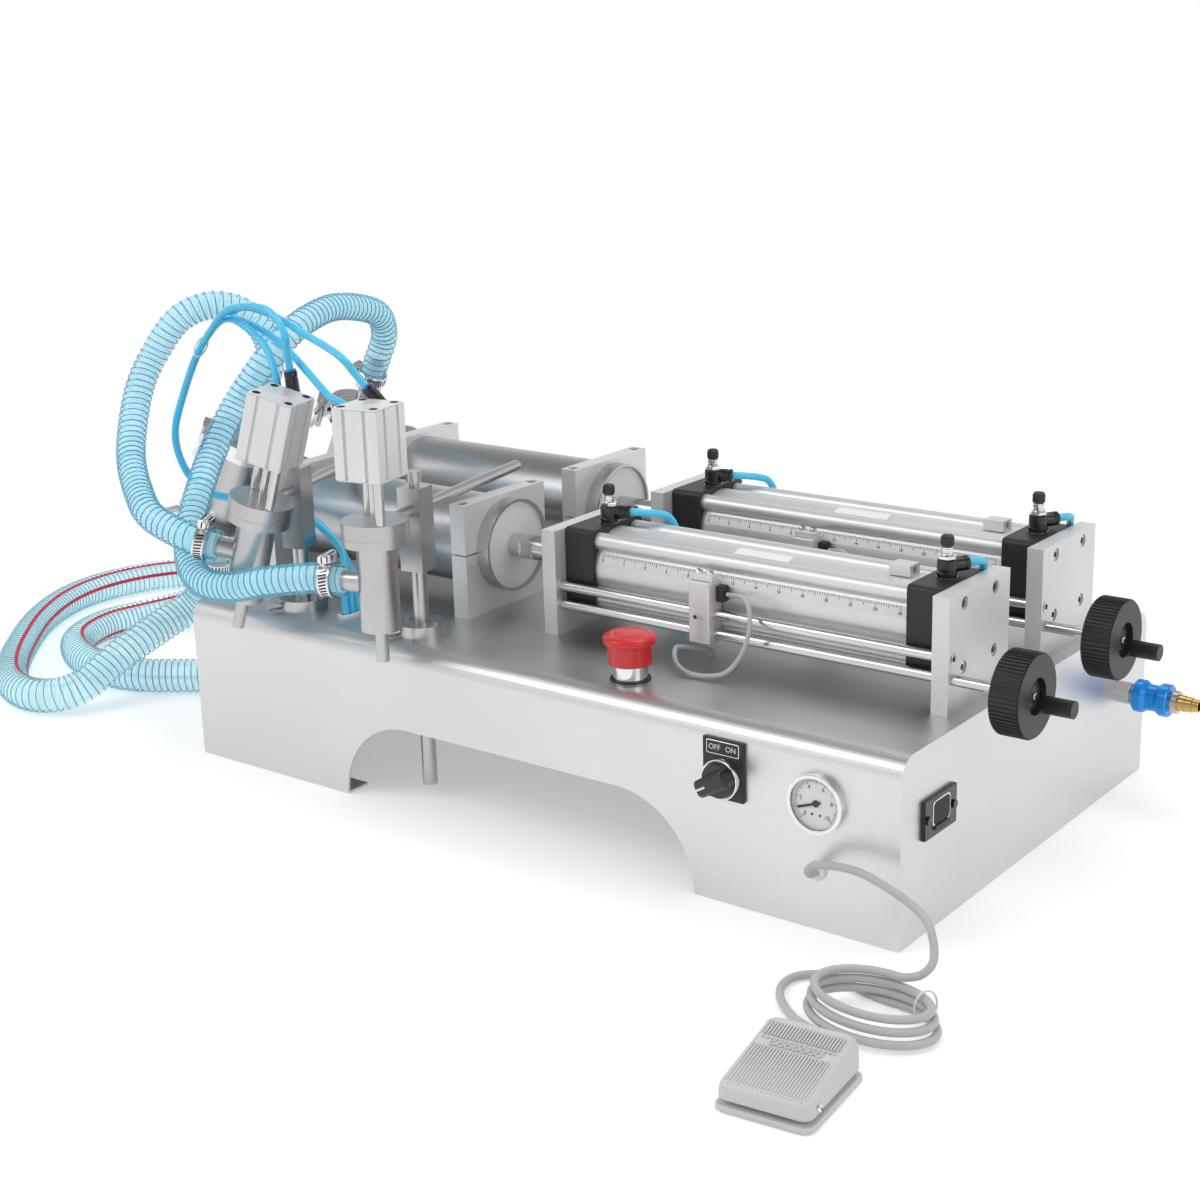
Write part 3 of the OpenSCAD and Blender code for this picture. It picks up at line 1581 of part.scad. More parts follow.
// Hose routes: free points, and straight ends on the fittings' axes.
hose_tip_s = tee_half + clamp_flange_t + hose_on_tip;
tip_end_s = tee_half + clamp_flange_t + tip_l;
tip_seat = tip_end_s - hose_tip_s;
port_seat = barb_l - hose_start;
function tee_end(i, up, d) =
  [for (s = [hose_tip_s, (hose_tip_s + tip_end_s) / 2, tip_end_s, tip_end_s + d / 3]) tee_pt(i, up * s)];
function port_end(k) = [for (s = [hose_start, (hose_start + barb_l) / 2, barb_l, barb_l + hose_d / 2])
  let (t = k == 0 ? port_turn_a : port_turn_b) valve_pt(k, [s * cos(t), s * sin(t), -port_down])];
function backward(p) = [for (i = [len(p) - 1 : -1 : 0]) p[i]];
// Delivery hose a: from the back line's check valve to the first nozzle valve.
free_a = [[-364, 79, 322], [-354, 58, 345], [-347, 2, 358], [-339, -46, 353], [-338, -73, 341],
  [-346, -93, 321], [-363, -113, 286], [-361, -143, 254], [-344, -176, 230], [-326, -206, 205],
  [-300, -232, 184], [-266, -248, 176], [-230, -252, 179], [-194, -249, 188]];
// Delivery hose b: from the front line's check valve to the second nozzle valve.
free_b = [[-366, -65, 318], [-365, -70, 342], [-373, -85, 363], [-390, -106, 371], [-409, -129, 360],
  [-424, -148, 329], [-423, -166, 305], [-410, -188, 277], [-390, -209, 254], [-359, -230, 236],
  [-325, -247, 223]];
route_a = concat(tee_end(1, 1, hose_d), free_a, backward(port_end(0)));
route_b = concat(tee_end(0, 1, hose_d), free_b, backward(port_end(1)));
module delivery_hose_a() {
  color(clear_blue) ribbed_hose(route_a, rib_gap, hose_d, tip_seat, port_seat);
}
module delivery_hose_b() {
  color(clear_blue) ribbed_hose(route_b, rib_gap, hose_d, tip_seat, port_seat);
}

// Suction hoses: from the check valves down to the table in loose loops.
free_sa = [[-486, -67, 81], [-495, -80, 70], [-501, -103, 61], [-504, -130, 52], [-509, -158, 39],
  [-517, -187, 23], [-532, -208, 17.5], [-560, -216, 16.2], [-598, -204, 16], [-640, -172, 16],
  [-686, -126, 16], [-734, -70, 16], [-768, -14, 16], [-784, 38, 16], [-780, 90, 16],
  [-756, 136, 16], [-712, 168, 16], [-656, 182, 16], [-600, 184, 16]];
free_sb = [[-487, 80, 87], [-508, 77, 74], [-545, 69, 56], [-590, 55, 38], [-632, 34, 24],
  [-660, 4, 17], [-669, -32, 16.1], [-661, -66, 16], [-644, -92, 16], [-616, -112, 16],
  [-584, -124, 16], [-547, -129, 16], [-513, -123, 16], [-480, -104, 16], [-444, -80, 16],
  [-404, -62, 16]];
route_sa = concat(tee_end(0, -1, suction_d), free_sa);
route_sb = concat(tee_end(1, -1, suction_d), free_sb);

module suction_hose_a() {
  color(clear_blue) ribbed_hose(route_sa, rib_gap_low, suction_d, tip_seat, suction_d);
}
module suction_hose_b() {
  color(clear_blue) ribbed_hose(route_sb, rib_gap_low, suction_d, tip_seat, suction_d);
}

// Blue tubes: side by side from the slot in the base, then one to each elbow.
bundle_step = 6.7;
bundle = [[-198, -150, 150], [-208, -142, 166], [-222, -134, 179], [-242, -130, 192], [-268, -130, 206],
  [-311, -132, 214], [-350, -138, 212], [-376, -147, 219], [-388, -156, 242], [-386, -162, 272],
  [-368, -165, 305], [-341, -168, 344], [-316, -168, 369]];
branches = [
  [[-290, -170, 384], [-262, -172, 386], [-236, -175, 383]],
  [[-294, -169, 374], [-270, -173, 366], [-246, -179, 354]],
  [[-288, -170, 384], [-260, -172, 385], [-230, -176, 379], [-198, -184, 372], [-170, -194, 368]],
  [[-290, -168, 373], [-258, -173, 369], [-226, -180, 359], [-194, -190, 346], [-166, -200, 335]]
];
tube_gap = 0.6;
head_free = [5 * air_tube_d, 2.3 * air_tube_d, tube_gap];
// The flat bundle lies along this direction.
bundle_way = [-0.74, 0.65, -0.18];
function beside(p, i) = let (t = dir_at(p, i)) unit(bundle_way - (bundle_way * t) * t);
function lane_way(p, i) = i == 0 ? [0, 1, 0] : i == 1 ? unit([0, 1, 0] + beside(p, i)) : beside(p, i);
tube_heads = [[1, elbow_high], [1, elbow_low], [0, elbow_high], [0, elbow_low]];
function elbow_pt(k, z, s) = valve_pt(k, [s * sin(elbow_leans[k]), act_w / 2 + elbow_l / 2,
  act_z + z + s * cos(elbow_leans[k])]);

module nozzle_air_tubes() {
  color(air_blue)
    for (j = [0 : len(tube_heads) - 1]) {
      side = (j - (len(tube_heads) - 1) / 2) * bundle_step;
      k = tube_heads[j][0];
      z = tube_heads[j][1];
      foot = [for (h = [base_h - 2 * air_tube_d, base_h]) [bundle_x, bundle_y + side, h]];
      mid = concat(bundle, branches[j]);
      lane = [for (i = [0 : len(mid) - 1]) mid[i] + side * lane_way(mid, i)];
      head = [for (s = head_free) elbow_pt(k, z, elbow_arm_l + s)];
      fine = smooth(concat(foot, lane, head), 2);
      swept(fine, [for (q = fine) air_tube_d / 2], hose_sides);
    }
}

// Foot switch

foot_base_t = 4;
foot_lip = 3;
foot_wall = 2.5;
pivot_d = 4;
pivot_from_back = 12;
pivot_z = 11;
pedal_gap = 1.5;
pedal_lift = 3.2;
gland_w = 14;
gland_t = 6;
gland_h = 12;

module on_foot() {
  translate([foot_x, foot_y, 0]) rotate([0, 0, foot_turn]) children();
}

module foot_switch_base() {
  tower_w = foot_w - 4 * foot_wall - 2 * pedal_gap;
  color("lightgray")
    on_foot() {
      difference() {
        union() {
          slab([foot_w, foot_l, foot_base_t]);
          translate([0, foot_l / 2 - foot_wall - pivot_from_back, 0])
            slab([tower_w, 2 * pivot_from_back - 4 * foot_wall, pivot_z + pivot_d]);
          translate([0, foot_l / 2 + gland_t / 2, 0]) slab([gland_w, gland_t, gland_h]);
        }
        translate([-foot_w, foot_l / 2 - pivot_from_back, pivot_z]) rotate([0, 90, 0])
          cylinder(d = pivot_d + 2 * run, h = 2 * foot_w);
      }
    }
}

// Pedal shell, hinged near its back edge, with ribs along its top.
module foot_pedal() {
  w = foot_w - 2 * pedal_gap;
  l = foot_l - 2 * pedal_gap;
  z0 = foot_base_t + pedal_lift;
  color("lightgray")
    on_foot() {
      difference() {
        rotate([90, 0, 90])
          translate([0, 0, -w / 2])
            linear_extrude(w)
              polygon([[-l / 2, z0], [l / 2, z0], [l / 2, foot_hi - foot_lip],
                [l / 2 - foot_lip, foot_hi], [-l / 2 + foot_lip, foot_lo], [-l / 2, foot_lo - foot_lip]]);
        rotate([90, 0, 90])
          translate([0, 0, foot_wall - w / 2])
            linear_extrude(w - 2 * foot_wall)
              polygon([[foot_wall - l / 2, 0], [l / 2 - foot_wall, 0],
                [l / 2 - foot_wall, foot_hi - 2 * foot_wall],
                [-l / 2 + foot_wall, foot_lo - 2 * foot_wall]]);
      }
      translate([-w / 2 + foot_wall / 2, foot_l / 2 - pivot_from_back, pivot_z]) rotate([0, 90, 0])
        cylinder(d = pivot_d, h = w - foot_wall);
    }
}

// Foot cable: from the grommet down to the coil, and from the coil to the switch.
cable_r = foot_cable_d / 2;
cable_out = [10, 0, -8];
cable_route = [each [for (s = cable_out) [grommet_x, s - base_w / 2, grommet_z]],
  [278, -215, 50], [286, -219, 57],
  [302, -220, 61], [322, -220, 61], [346, -224, 57], [368, -234, 55], [384, -244, 52], [393, -252, 42],
  [396, -259, 33], [391, -264, 26], [383, -266.5, 23]];
tail_route = [[350, -265, 3], [330, -259, 3], [313, -262, 3], [303, -274, 3], [304, -290, 3],
  [314, -305, 3], [330, -318, 3], [346, -326, 4], [359, -329, 4], [367, -335, 5]];
foot_back = foot_l / 2 + gland_t;
function foot_pt(y) = [foot_x, foot_y, 0] + turn_z([0, y, cable_r + foot_base_t / 2], foot_turn);

// Coil: oval loops on each other, wider and further forward with every turn down.
coil_x = 372;
coil_y = -291;
coil_a = 38;
coil_b = 24;
coil_step = 2;
coil_drift = [1, -2];
coil_rings = 22;
coil_loops = 3;
coil_gap = 0.8;

function coil_point(t) = let (spread = coil_step * t, angle = 90 + 360 * t)
  [coil_x + coil_drift[0] * t + (coil_a + spread) * cos(angle),
    coil_y + coil_drift[1] * t + (coil_b + spread) * sin(angle),
    cable_r + (coil_loops - t) * (foot_cable_d + coil_gap)];

coil_path = [for (k = [0 : coil_loops * coil_rings]) coil_point(k / coil_rings)];

module foot_cable() {
  color("gray") {
    last = len(coil_path) - 1;
    a = smooth(concat(cable_route, [coil_path[0] + [air_straight, 0, 0], coil_path[0]]), 2);
    swept(a, [for (q = a) cable_r], hose_sides);
    b = smooth(concat([coil_path[last], coil_path[last] - [air_straight, 0, 0]], tail_route,
      [foot_pt(foot_back + gland_t / 2), foot_pt(foot_back)]), 2);
    swept(b, [for (q = b) cable_r], hose_sides);
  }
}

// Least distance between turns of the coil that aren't neighbours along it.
coil_far = [for (i = [0 : len(coil_path) - 1], j = [i + 6 : 1 : len(coil_path) - 1])
  norm(coil_path[i] - coil_path[j])];

module foot_cable_coil() {
  echo(coil_gap_to_itself = min(coil_far) - foot_cable_d);
  color("gray") swept(coil_path, [for (q = coil_path) cable_r], 6);
}

base_housing();
clamp_plates();
cylinder_plates();
material_tubes();
tube_end_caps();
air_barrels();
air_caps();
machine_screws();
guide_rods();
flow_controls();
cylinder_air_tubes();
estop_collar();
selector_plate();
pressure_gauge();
gauge_glass();
power_inlet();
air_inlet();
push_in_fitting();
cable_grommet();
stand_collars();
valve_tees();
pipe_clamps();
hose_clamps();
foot_switch_base();
foot_cable();
foot_cable_coil();
suction_hose_a();
suction_hose_b();
valve_manifold();
sensor_cables();
delivery_hose_a();
delivery_hose_b();
nozzle_air_tubes();
plunger_a();
plunger_b();
piston_rod_a();
piston_rod_b();
lead_screw_a();
lead_screw_b();
handwheel_a();
handwheel_b();
sensor_bracket_a();
sensor_bracket_b();
flow_knob_a1();
flow_knob_a2();
flow_knob_b1();
flow_knob_b2();
estop_button();
selector_knob();
gauge_needle();
slide_sleeve();
foot_pedal();
stand_post_a();
stand_post_b();
nozzle_body_a();
nozzle_body_b();
actuator_a();
actuator_b();
nozzle_stem_a();
nozzle_stem_b();
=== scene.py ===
import math
import bpy
import numpy as np
from mathutils import Matrix, Vector


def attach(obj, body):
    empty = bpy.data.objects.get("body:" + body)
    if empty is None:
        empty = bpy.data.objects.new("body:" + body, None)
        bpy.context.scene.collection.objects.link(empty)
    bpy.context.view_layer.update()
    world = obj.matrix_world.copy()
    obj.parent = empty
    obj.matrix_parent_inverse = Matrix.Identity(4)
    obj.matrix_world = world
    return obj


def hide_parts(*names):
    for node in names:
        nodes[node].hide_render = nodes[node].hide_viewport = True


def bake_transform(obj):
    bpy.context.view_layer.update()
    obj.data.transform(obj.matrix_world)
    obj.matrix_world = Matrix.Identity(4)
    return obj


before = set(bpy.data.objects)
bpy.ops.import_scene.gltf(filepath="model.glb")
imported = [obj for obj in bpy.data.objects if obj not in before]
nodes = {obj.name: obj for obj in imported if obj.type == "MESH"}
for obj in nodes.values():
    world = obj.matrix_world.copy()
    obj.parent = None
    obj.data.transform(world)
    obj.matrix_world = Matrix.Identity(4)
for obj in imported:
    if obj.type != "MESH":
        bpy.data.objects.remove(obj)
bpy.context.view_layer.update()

scene = bpy.context.scene

# -------------------- camera
RIGHT = Vector((0.79602919, 0.60463141, -0.02753879))
DOWN = Vector((0.15045888, -0.24174798, -0.95860317))
FORWARD = Vector((-0.58625903, 0.75893265, -0.28341062))
EYE = (0.931348, -1.280310, 0.617209)
FOCAL_PX, IMAGE_W, SENSOR_MM = 2010.83, 1200, 36
cam_data = bpy.data.cameras.new("camera")
cam = bpy.data.objects.new("camera", cam_data)
scene.collection.objects.link(cam)
cam_data.sensor_fit = "HORIZONTAL"
cam_data.sensor_width = SENSOR_MM
cam_data.lens = FOCAL_PX / IMAGE_W * SENSOR_MM
cam_data.clip_start = 0.05
cam_data.clip_end = 50
turn = Matrix((RIGHT, -DOWN, -FORWARD)).transposed().to_4x4()
cam.matrix_world = Matrix.Translation(EYE) @ turn
scene.camera = cam

# -------------------- shared sizes, in mm
AXIS_Z = 189.5                  # height of the cylinders' axes
LINES = (-64.5, 80.3)           # y of the front and the rear line
SIDE = 38.5                     # guide rods, brackets and wheels lie this far in front of a line
BASE_H = 137.0
STANDS = ((-111, -163, 10, 0), (-243, -163, 17, 16))    # x, y, turn, lean of the valve
PORT_TURNS = (188, 190)         # where each valve's inlet points
TEE = (-425.0, 200.5, 27.0)     # x, z, lean
FLOW_PORTS = ((3.64, 25), (298.7, 60))                  # x, turn of the elbow
HOSE_D, SUCTION_D, AIR_D, LEAD_D, SENSOR_D = 25.0, 32.0, 6.0, 5.6, 3.6


def deg(a):
    return math.radians(a)


def move(x, y, z):
    return Matrix.Translation((x, y, z))


def rx(a):
    return Matrix.Rotation(deg(a), 4, "X")


def ry(a):
    return Matrix.Rotation(deg(a), 4, "Y")


def rz(a):
    return Matrix.Rotation(deg(a), 4, "Z")


def on_stand(k):
    x, y, t, _ = STANDS[k]
    return move(x, y, BASE_H) @ rz(t)


def on_valve(k):
    return on_stand(k) @ move(0, -57, 102) @ ry(STANDS[k][3])


def on_tee(i):
    return move(TEE[0], LINES[i], TEE[1]) @ ry(TEE[2])


def at(m, p):
    return list(m @ Vector(p))


# -------------------- curves
def smooth(p, n):
    """A Catmull-Rom curve through p, n points to a span."""
    p = [np.array(q, float) for q in p]
    out = []
    for i in range(len(p) - 1):
        a = p[i - 1] if i else 2 * p[0] - p[1]
        b, c = p[i], p[i + 1]
        d = p[i + 2] if i + 2 < len(p) else 2 * p[-1] - p[-2]
        for k in range(n):
            t = k / n
            out.append(0.5 * (2 * b + (c - a) * t + (2 * a - 5 * b + 4 * c - d) * t * t
                              + (3 * b - a - 3 * c + d) * t ** 3))
    out.append(p[-1])
    return np.array(out)


def resample(p, step):
    """The same curve with even steps."""
    s = np.r_[0, np.cumsum(np.linalg.norm(np.diff(p, axis=0), axis=1))]
    m = max(2, int(round(s[-1] / step)))
    t = np.linspace(0, s[-1], m + 1)
    return np.stack([np.interp(t, s, p[:, k]) for k in range(3)], 1)


def length(p):
    return float(np.linalg.norm(np.diff(p, axis=0), axis=1).sum())


def frames(p, first=None):
    """Tangents and two normals at each point, carried along without twist."""
    t = np.gradient(p, axis=0)
    t /= np.linalg.norm(t, axis=1)[:, None]
    u = np.array(first if first is not None else (0, 0, 1) if abs(t[0][2]) < 0.9 else (0, -1, 0), float)
    us = []
    for d in t:
        u = u - d * (u @ d)
        u /= np.linalg.norm(u)
        us.append(u.copy())
    us = np.array(us)
    return t, us, np.cross(t, us)


def rings(u, w, n):
    a = np.arange(n) * 2 * math.pi / n
    return u[:, None] * np.cos(a)[None, :, None] + w[:, None] * np.sin(a)[None, :, None]


def quads(rows, n, base=0):
    """The faces between rows of n points."""
    return [[base + i * n + j, base + i * n + (j + 1) % n, base + (i + 1) * n + (j + 1) % n,
             base + (i + 1) * n + j] for i in range(rows - 1) for j in range(n)]


def tube(p, r, sides=12, caps=True, first=None):
    p = np.array(p, float)
    _, u, w = frames(p, first)
    r = np.broadcast_to(np.array(r, float).reshape(-1, 1) if np.ndim(r) else r, (len(p), 1))
    v = (p[:, None] + rings(u, w, sides) * r[:, :, None]).reshape(-1, 3)
    f = quads(len(p), sides)
    if caps:
        f.append(list(range(sides))[::-1])
        f.append([(len(p) - 1) * sides + j for j in range(sides)])
    return v, f


# -------------------- shapes, in mm
def lathe(profile, n=40):
    """Turns a profile of (radius, height) points about z."""
    v, f, rows = [], [], []
    for r, z in profile:
        if r < 1e-6:
            rows.append([len(v)])
            v.append((0, 0, z))
        else:
            rows.append(list(range(len(v), len(v) + n)))
            v += [(r * math.cos(2 * math.pi * k / n), r * math.sin(2 * math.pi * k / n), z)
                  for k in range(n)]
    for a, b in zip(rows, rows[1:]):
        for k in range(n):
            q = (k + 1) % n
            if len(a) == 1 and len(b) == 1:
                continue
            if len(a) == 1:
                f.append([a[0], b[q], b[k]])
            elif len(b) == 1:
                f.append([a[k], a[q], b[0]])
            else:
                f.append([a[k], a[q], b[q], b[k]])
    return v, f


def rod(r, z0, z1, c=0.4, n=28, inner=0.0):
    if inner:
        return lathe([(inner, z0), (r - c, z0), (r, z0 + c), (r, z1 - c), (r - c, z1), (inner, z1),
                      (inner, z0)], n)
    return lathe([(0, z0), (r - c, z0), (r, z0 + c), (r, z1 - c), (r - c, z1), (0, z1)], n)


def rounded(w, h, r, n=5, x=0.0, y=0.0):
    """The outline of a rectangle with rounded corners."""
    out = []
    for cx, cy, a0 in ((1, 1, 0), (-1, 1, 90), (-1, -1, 180), (1, -1, 270)):
        for k in range(n + 1):
            a = deg(a0 + 90 * k / n)
            out.append((x + cx * (w / 2 - r) + r * math.cos(a), y + cy * (h / 2 - r) + r * math.sin(a)))
    return out


def inset(outline, d):
    m = len(outline)
    out = []
    for i in range(m):
        a, b, c = (np.array(outline[(i + k) % m], float) for k in (-1, 0, 1))
        e1, e2 = b - a, c - b
        n1 = np.array((-e1[1], e1[0])) / (np.linalg.norm(e1) + 1e-9)
        n2 = np.array((-e2[1], e2[0])) / (np.linalg.norm(e2) + 1e-9)
        s = n1 + n2
        out.append(tuple(b + d * s / max(0.5, (s @ s) / 2)))
    return out


def prism(outline, z0, z1, c=0.3):
    """A solid on an outline, with chamfers of c."""
    m = len(outline)
    small = inset(outline, c)
    rows = [(small, z0), (outline, z0 + c), (outline, z1 - c), (small, z1)]
    v = [(x, y, z) for o, z in rows for x, y in o]
    f = quads(len(rows), m)
    f.append(list(range(m))[::-1])
    f.append([3 * m + k for k in range(m)])
    return v, f


def block(w, d, h, r=0.8, c=0.3, n=3):
    return prism(rounded(w, d, r, n), 0, h, c)


def hexagon(d, z0, z1, c=0.4):
    return prism([(d / 2 / math.cos(deg(30)) * math.cos(deg(60 * k)),
                   d / 2 / math.cos(deg(30)) * math.sin(deg(60 * k))) for k in range(6)], z0, z1, c)


class Kit:
    """Gathers shapes, in mm, into one piece."""

    def __init__(self):
        self.v, self.f, self.m = [], [], []

    def add(self, shape, mat=0, place=Matrix.Identity(4)):
        v, f = shape
        base = len(self.v)
        m = np.array(place)
        p = np.array(v, float) @ m[:3, :3].T + m[:3, 3]
        self.v.extend(p.tolist())
        self.f.extend([[base + i for i in q] for q in f])
        self.m.extend([mat] * len(f))
        return self

    def build(self, name, mats, slot, body=None, angle=32, hides=()):
        me = bpy.data.meshes.new(name)
        me.from_pydata((np.array(self.v) / 1000).tolist(), [], self.f)
        for m in mats:
            me.materials.append(m)
        me.polygons.foreach_set("material_index", self.m)
        me.update()
        me.shade_smooth()
        me.set_sharp_from_angle(angle=deg(angle))
        ob = bpy.data.objects.new(name, me)
        scene.collection.objects.link(ob)
        if hides:
            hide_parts(*hides)
        if body:
            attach(ob, body)
        return ob


# -------------------- materials
def srgb(r, g, b):
    return tuple(((c / 255 + 0.055) / 1.055) ** 2.4 if c > 10 else c / 255 / 12.92 for c in (r, g, b))


def fill(n, values):
    for key, value in values.items():
        n.inputs[key].default_value = value


def node(tree, kind, values=None, operation=None):
    n = tree.nodes.new("ShaderNode" + kind)
    if operation:
        n.operation = operation
    fill(n, values or {})
    return n


def surface(name, rgb, rough=0.4, metal=0.0, coat=0.0, scale=900, mottle=0.05, vary=0.05, bump=0.1,
            depth=0.0002, cloud=0.04, cloud_scale=9.0, alpha=None, translucent=0.0, painted_glow=0.0):
    """A finish with fine grain, soft clouds and relief. The last argument adds painted light: a glow of the
    surface's own colour.
    """
    color = srgb(*rgb)
    m = bpy.data.materials.new(name)
    m.use_nodes = True
    nt = m.node_tree
    link = nt.links.new
    b = nt.nodes["Principled BSDF"]
    fill(b, {"Metallic": metal, "Specular IOR Level": 0.5, "IOR": 1.5, "Coat Weight": coat,
             "Coat Roughness": 0.08})
    # Painted light: the surface glows in its own colour though it is no lamp.
    if painted_glow:
        fill(b, {"Emission Color": (*color, 1), "Emission Strength": painted_glow})
    if translucent:
        fill(b, {"Subsurface Weight": translucent, "Subsurface Radius": (0.004, 0.005, 0.006),
                 "Subsurface Scale": 1.0})
    tc = node(nt, "TexCoord")
    mp = node(nt, "Mapping", {"Scale": scale if isinstance(scale, tuple) else (scale,) * 3})
    link(tc.outputs["Object"], mp.inputs["Vector"])
    fine = node(nt, "TexNoise", {"Scale": 1, "Detail": 3.0, "Roughness": 0.6})
    link(mp.outputs["Vector"], fine.inputs["Vector"])
    soft = node(nt, "TexNoise", {"Scale": cloud_scale, "Detail": 2})
    link(tc.outputs["Object"], soft.inputs["Vector"])

    def ramp(source, lo, hi):
        r = node(nt, "MapRange", {"From Min": 0.3, "From Max": 0.7, "To Min": lo, "To Max": hi})
        link(source, r.inputs["Value"])
        return r.outputs["Result"]

    product = node(nt, "Math", operation="MULTIPLY")
    link(ramp(fine.outputs["Fac"], 1 - mottle, 1 + mottle), product.inputs[0])
    link(ramp(soft.outputs["Fac"], 1 - cloud, 1 + cloud), product.inputs[1])
    tint = node(nt, "VectorMath", {0: color}, "SCALE")
    link(product.outputs[0], tint.inputs["Scale"])
    link(tint.outputs["Vector"], b.inputs["Base Color"])
    link(ramp(fine.outputs["Fac"], max(0.03, rough - vary), rough + vary), b.inputs["Roughness"])
    if bump:
        bp = node(nt, "Bump", {"Strength": bump, "Distance": depth})
        link(fine.outputs["Fac"], bp.inputs["Height"])
        link(bp.outputs["Normal"], b.inputs["Normal"])
    if alpha:
        lw = node(nt, "LayerWeight", {"Blend": 0.35})
        r = node(nt, "MapRange", {"To Min": alpha[0], "To Max": alpha[1]})
        link(lw.outputs["Facing"], r.inputs["Value"])
        link(r.outputs["Result"], b.inputs["Alpha"])
    m.diffuse_color = (*color, 1)
    return m


steel_sheet = surface("brushed_sheet", (213, 213, 213), 0.39, 1.0, scale=(7, 850, 850), mottle=0.035,
                      vary=0.05, bump=0.05, depth=5e-5, cloud=0.03, cloud_scale=5)
steel_tube = surface("brushed_tube", (186, 186, 187), 0.33, 1.0, scale=(700, 60, 60), mottle=0.014,
                     vary=0.025, bump=0.02, depth=3e-5, cloud=0.03, cloud_scale=14)
steel_turned = surface("turned_steel", (188, 188, 189), 0.31, 1.0, scale=(30, 30, 620), mottle=0.025,
                       vary=0.03, bump=0.02, depth=2e-5, cloud=0.03, cloud_scale=30)
steel_bright = surface("ground_rod", (206, 206, 207), 0.2, 1.0, scale=(30, 1100, 1100), mottle=0.03,
                       vary=0.04, bump=0.03, depth=3e-5)
plate_mat = surface("machined_plate", (228, 228, 228), 0.45, 0.5, scale=(500, 60, 900), mottle=0.025,
                    vary=0.05, bump=0.05, depth=5e-5, cloud=0.02)
barrel_mat = surface("anodised_barrel", (228, 228, 229), 0.42, 0.65, scale=(6, 900, 900), mottle=0.02,
                     vary=0.04, bump=0.03, depth=3e-5, cloud=0.015)
act_mat = surface("anodised_body", (238, 238, 238), 0.36, 0.35, scale=(700, 700, 12), mottle=0.015,
                  vary=0.05, bump=0.04, depth=4e-5, cloud=0.015)
black_mat = surface("black_moulded", (34, 34, 35), 0.45, scale=1500, mottle=0.18, vary=0.06, bump=0.16,
                    depth=8e-5, cloud=0.08, cloud_scale=40)
black_gloss = surface("black_gloss", (24, 24, 25), 0.26, coat=0.2, mottle=0.1, vary=0.04, bump=0.06,
                      depth=5e-5)
red_mat = surface("red_moulded", (216, 26, 30), 0.3, coat=0.35, mottle=0.03, vary=0.04, bump=0.05,
                  depth=5e-5, cloud=0.03, cloud_scale=40)
white_mat = surface("white_plastic_skin", (236, 236, 234), 0.4, mottle=0.015, vary=0.05, bump=0.06,
                    depth=5e-5)
grey_mat = surface("grey_moulded", (210, 210, 209), 0.55, scale=1300, mottle=0.03, vary=0.06, bump=0.2,
                   depth=1e-4, cloud=0.02, cloud_scale=30)
cable_mat = surface("grey_sheath", (190, 190, 190), 0.48, scale=1200, mottle=0.04, vary=0.06, bump=0.1,
                    depth=6e-5, cloud=0.03, cloud_scale=30)
chrome_mat = surface("bright_plate", (224, 224, 226), 0.08, 1.0, scale=500, mottle=0.02, vary=0.03,
                     bump=0.02, depth=2e-5)
brass_mat = surface("bare_brass", (214, 178, 110), 0.24, 1.0, scale=(1200, 200, 200), mottle=0.04,
                    vary=0.05, bump=0.04, depth=3e-5)
blue_metal = surface("blue_anodised", (24, 146, 236), 0.27, 0.4, coat=0.15, scale=(1300, 60, 60),
                     mottle=0.04, vary=0.05, bump=0.05, depth=4e-5)
blue_mat = surface("blue_polyurethane", (82, 210, 255), 0.24, coat=0.2, scale=300, mottle=0.04, vary=0.04,
                   bump=0.03, depth=4e-5, cloud=0.05, cloud_scale=25, translucent=0.25)
# Painted shade: a near-black finish put into slots, holes, socket bottoms, grooves and gaps, where there is
# only shade.
recess_shade_mat = surface("painted_recess_shade", (20, 20, 20), 0.6, scale=800, mottle=0.1, vary=0.05, bump=0.05,
                   depth=3e-5)
ink_mat = surface("black_ink", (22, 22, 24), 0.55, scale=1500, mottle=0.08, vary=0.05, bump=0.0)
print_mat = surface("white_ink", (235, 235, 232), 0.5, scale=1500, mottle=0.02, vary=0.05, bump=0.0)
HOSE_LOOK = dict(scale=160, mottle=0.03, vary=0.04, bump=0.03, depth=1e-4, cloud=0.06, cloud_scale=14)
# The hose walls and bores glow faintly in their own colour: painted light that lightens them where their
# layers shade each other.
hose_mat = surface("clear_wall", (200, 242, 246), 0.16, coat=0.25, **HOSE_LOOK, alpha=(0.10, 0.48),
                   painted_glow=0.12)
hose_inner = surface("clear_bore", (212, 244, 250), 0.45, **HOSE_LOOK, alpha=(0.52, 0.74), painted_glow=0.3)
feed_mat = surface("clear_feed_wall", (120, 212, 240), 0.16, coat=0.25, **HOSE_LOOK, alpha=(0.16, 0.52),
                   painted_glow=0.12)
wire_mat = surface("helix_wire", (104, 160, 182), 0.3, 0.6, scale=500, mottle=0.05, vary=0.05, bump=0.02,
                   depth=3e-5)
stripe_mat = surface("red_stripe", (200, 40, 70), 0.35, mottle=0.04, vary=0.05, bump=0.03, depth=3e-5)
glass_mat = surface("clear_window", (235, 242, 246), 0.05, scale=300, mottle=0.0, vary=0.01, bump=0.01,
                    depth=2e-5, cloud=0.0, alpha=(0.0, 0.14))
label_mat = surface("bare_label", (240, 240, 238), 0.5, scale=1200, mottle=0.012, vary=0.05, bump=0.04,
                    depth=3e-5)

